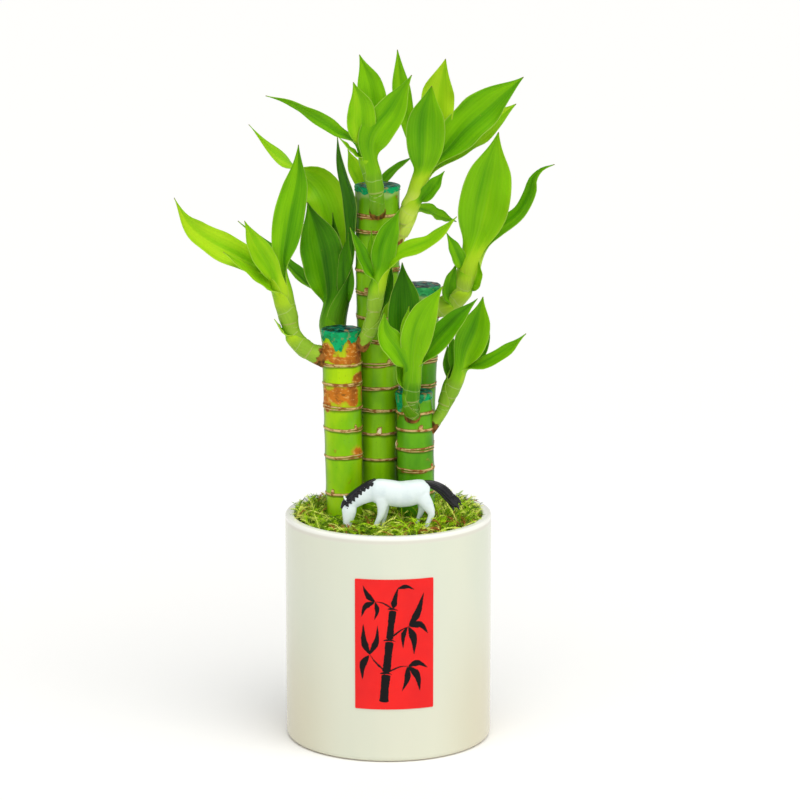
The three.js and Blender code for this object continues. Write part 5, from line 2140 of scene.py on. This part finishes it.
@dataclass(frozen=True)
class Limb:
    """A body of oval sections. Each station gives x and z of its middle, half height and half width."""

    side: float
    stations: tuple
    grooves: int = 0
    groove_depth: float = 0.0

    AROUND = 28
    STEPS = 8

    def build(self, y: float) -> bpy.types.Object:
        """Rolls the body through its stations.

        Args:
            y: where the horse's middle lies.

        Returns:
            The closed body.
        """
        spans = len(self.stations) - 1
        knots = [Vector((x, y + self.side, z)) for x, z, _, _ in self.stations]
        tall, wide = ([station[i] for station in self.stations] for i in (2, 3))

        def place(around: float, share: float) -> Vector:
            """Places a corner of the grid on the limb.

            Args:
                around: 0 to 1 round the limb.
                share: 0 to 1 along.

            Returns:
                The corner's place.
            """
            at, last = share * spans, spans - 1e-6
            along = (on_curve(knots, min(at + 0.01, last)) - on_curve(knots, max(at - 0.01, 0))).normalized()
            across = Vector((0, 1, 0)).cross(along)
            angle = TURN * around
            groove = 1 - self.groove_depth * (0.5 + 0.5 * math.cos(self.grooves * angle + 3 * share))
            up = through(tall, at) * math.cos(angle) * groove
            aside = through(wide, at) * math.sin(angle) * groove
            return on_curve(knots, min(at, last)) + across * up + Vector((0, aside, 0))

        return close(bent_grid("limb", self.AROUND, spans * self.STEPS, place))


@dataclass(frozen=True)
class Horse:
    """A small cast horse, white with a black mane and tail: trunk, neck, head, four legs and ears, then hair."""

    y: float = -28.0
    body: tuple = (
        Limb(0, ((-8.5, 116.3, 2.6, 1.9), (-5.5, 116.2, 5.2, 3.3), (-0.5, 115.7, 5.6, 4), (5, 114.8, 5.7, 4.2),
                 (10, 115.4, 5.6, 4.2), (14.5, 116.6, 4.7, 3.9), (17.8, 116.2, 2.8, 2.3))),
        Limb(0, ((-3, 117.2, 4.4, 2.4), (-8, 115.8, 4.5, 2.3), (-13, 113, 3.6, 1.9), (-17, 110, 2.8, 1.6))),
        Limb(0, ((-16.2, 112, 2, 1.5), (-16.6, 108.3, 3.2, 2.1), (-16.9, 105.2, 2.8, 1.9),
                 (-17.4, 102.6, 2.1, 1.7), (-17.6, 100.4, 1.8, 1.6), (-17.5, 99.2, 1.2, 1.2))),
        Limb(-2, ((-2.6, 113.5, 3.2, 1.7), (-2.6, 109, 2.1, 1.4), (-3.4, 105.4, 1.5, 1.2), (-5, 102, 1.1, 1),
                  (-5.6, 98.7, 1.3, 1.2))),
        Limb(2, ((-1.6, 113.5, 3, 1.6), (-1.2, 109, 1.9, 1.4), (-1.6, 105, 1.3, 1.1), (-2.2, 101.5, 1, 0.9),
                 (-2.4, 98.7, 1.3, 1.1))),
        Limb(2, ((13.8, 114, 3.2, 1.8), (14.6, 109.4, 2, 1.4), (13.9, 106, 1.3, 1.1), (12.6, 102.4, 1, 0.9),
                 (12.3, 98.7, 1.3, 1.1))),
        Limb(-2, ((14.4, 114.2, 3.4, 1.9), (16.9, 110.4, 2.7, 1.7), (18.5, 106.4, 1.6, 1.2), (17, 102.6, 1.1, 1),
                  (16.3, 98.7, 1.3, 1.2))),
        Limb(-1, ((-17.4, 112, 0.9, 0.7), (-19.2, 114.2, 0.4, 0.3))),
        Limb(1, ((-17.4, 112, 0.9, 0.7), (-19.2, 114.2, 0.4, 0.3))),
    )
    hair: tuple = (
        Limb(0, ((-5.2, 121.3, 0.7, 0.8), (-8.6, 119.7, 1.1, 1.7), (-12.4, 117.1, 1.15, 1.8), (-16, 114.1, 1.25, 1.8),
                 (-18.7, 111, 1.2, 1.4), (-20, 108.6, 0.6, 0.7)), 9, 0.12),
        Limb(0, ((15.4, 119.6, 1.6, 1.3), (19, 119, 2.0, 1.7), (23.4, 116.6, 2.5, 1.9), (26.4, 113.2, 2.5, 1.8),
                 (28.4, 110.6, 1.7, 1.4), (29.6, 109.2, 0.8, 0.8)), 8, 0.2),
        Limb(-0.6, ((27, 113.4, 1.2, 1.0), (29.2, 110.6, 0.9, 0.8), (30.6, 107.9, 0.25, 0.25))),
        Limb(0.4, ((26, 112.4, 1.3, 1.0), (27.4, 109.6, 0.9, 0.8), (28.2, 107.4, 0.25, 0.25))),
        Limb(-0.4, ((27.4, 114.2, 1.1, 0.9), (30.2, 112.2, 0.7, 0.6), (31.4, 110, 0.2, 0.2))),
    )
    mane: tuple = ((-7.2, 120), (-8.9, 118.9), (-10.5, 117.7), (-12.1, 116.5), (-13.7, 115.2), (-15.2, 113.9),
                   (-16.6, 112.6), (-17.9, 111.3))
    mane_side: float = 1.75
    eye: tuple = (-17.4, 1.7, 109)
    eye_radius: float = 0.3
    body_voxel: float = 0.32
    body_soften: int = 16
    hair_voxel: float = 0.2
    hair_soften: int = 1
    white: Finish = CastPlastic("white_plastic", (230, 242, 242), (218, 232, 234), 0.3)
    black: Finish = CastPlastic("black_plastic", (8, 10, 14), (20, 23, 28), 0.2)

    def locks(self) -> tuple[Limb, ...]:
        """Lays out the short points of the mane, which hang over both sides of the neck.

        Returns:
            The points.
        """
        found = []
        for number, (x, z) in enumerate(self.mane):
            for side in (-self.mane_side, self.mane_side):
                drop = 1.1 + 0.6 * rough(number * 3.1, side)
                tip = (x + 1.2, z - 1.7 * drop, 0.15, 0.15)
                found.append(Limb(side, ((x, z, 1.1, 0.6), (x + 0.5, z - drop, 0.7, 0.5), tip)))
        return tuple(found)

    def _cast(self, name: str, limbs: Sequence[Limb], voxel: float, soften: int) -> bpy.types.Object:
        """Fuses limbs into one casting.

        Args:
            name: the casting's name.
            limbs: what is fused.
            voxel: how fine the fused surface is, in millimetres.
            soften: how often it is smoothed.

        Returns:
            The casting.
        """
        casting = join(name, [limb.build(self.y) for limb in limbs])
        apply_modifier(casting, "REMESH", mode="VOXEL", voxel_size=voxel * MM, use_smooth_shade=True)
        return shade(apply_modifier(casting, "SMOOTH", factor=0.6, iterations=soften), 80)

    def build_eyes(self) -> bpy.types.Object:
        """Sets an eye into each side of the head.

        Returns:
            The eyes.
        """
        eyes = []
        for side in (-1, 1):
            spot = Vector((self.eye[0], self.y + side * self.eye[1], self.eye[2])) * MM
            size = {"segments": 16, "ring_count": 10, "radius": self.eye_radius * MM, "location": spot}
            eyes.append(settle(add("uv_sphere", "eye", **size)))
        return shade(join("horse_eyes", eyes), 80)

    def dress(self) -> None:
        """Makes the horse and hands it in."""
        body = self._cast("horse_body", self.body, self.body_voxel, self.body_soften)
        hand_in(body, self.white, Slot.FIGURINE, "horse")
        hair = self._cast("horse_hair", self.hair + self.locks(), self.hair_voxel, self.hair_soften)
        hand_in(hair, self.black, Slot.FIGURINE, "horse")
        hand_in(self.build_eyes(), self.black, Slot.FIGURINE, "horse")


# Studio


def stand(name: str, data: bpy.types.ID, place: Point, aim: Point) -> bpy.types.Object:
    """Stands a light or the camera in its place.

    Args:
        name: its name.
        data: the light or camera.
        place: where it stands, in metres.
        aim: what it looks at.

    Returns:
        The object.
    """
    obj = bpy.data.objects.new(name, data)
    bpy.context.scene.collection.objects.link(obj)
    obj.location = place
    obj.rotation_euler = (Vector(aim) - Vector(place)).to_track_quat("-Z", "Y").to_euler()
    return obj


@dataclass(frozen=True)
class Lamp:
    """A soft square light that looks at a point."""

    name: str
    place: tuple
    size: float
    watts: float
    colour: tuple
    aim: tuple = (0, 0, 0.13)

    def build(self) -> None:
        """Hangs the light."""
        data = bpy.data.lights.new(self.name, "AREA")
        data.shape = "SQUARE"
        data.size, data.energy, data.color = self.size, self.watts, self.colour
        stand(self.name, data, self.place, self.aim)


@dataclass(frozen=True)
class Studio:
    """A pale floor, soft light and the camera that took the photograph."""

    eye: tuple = (0.0051, -1.4662, 0.4665)
    target: tuple = (0.0051, 0.0, 0.150)
    lens: float = 155.6
    sensor: float = 36.0
    floor_size: float = 14.0
    sky: float = 0.52
    sun_from: tuple = (0.24, -0.8, 1.7)
    sun_strength: float = 1.9
    sun_softness: float = 55.0
    sun_colour: tuple = (1.0, 0.985, 0.95)
    lamps: tuple = (
        Lamp("left", (-0.8, -0.75, 0.6), 0.5, 0.5, (0.96, 0.99, 1.0)),
        Lamp("right", (0.9, -0.55, 0.45), 0.6, 1.0, (1.0, 0.93, 0.8)),
    )
    finish: Finish = PaleFloor()

    def build(self) -> None:
        """Sets the floor, the lights and the camera."""
        floor = add("plane", "studio_floor", size=self.floor_size)
        floor.data.materials.append(self.finish.material())
        scene = bpy.context.scene
        scene.world = bpy.data.worlds.new("studio")
        scene.world.use_nodes = True
        background = scene.world.node_tree.nodes["Background"]
        background.inputs["Color"].default_value = (1.0, 1.0, 1.0, 1.0)
        background.inputs["Strength"].default_value = self.sky
        scene.view_settings.view_transform = "Standard"
        for lamp in self.lamps:
            lamp.build()
        sun = bpy.data.lights.new("sun", "SUN")
        sun.energy, sun.angle, sun.color = self.sun_strength, math.radians(self.sun_softness), self.sun_colour
        stand("sun", sun, self.sun_from, (0, 0, 0))
        data = bpy.data.cameras.new("photo_camera")
        data.lens, data.sensor_width = self.lens, self.sensor
        scene.camera = stand("photo_camera", data, self.eye, self.target)


def main() -> None:
    """Builds every piece round the part and sets up the studio."""
    logging.basicConfig(level=logging.INFO, format="%(name)s: %(message)s")
    pot = Pot()
    pot.dress()
    Label(pot).dress()
    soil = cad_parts["soil"]
    soil.data.materials.clear()
    soil.data.materials.append(PottingSoil().material())
    for piece in STALKS + SHOOTS + (Moss(pot, STALKS), Horse()):
        piece.dress()
    Studio().build()


if __name__ == "__main__":
    main()
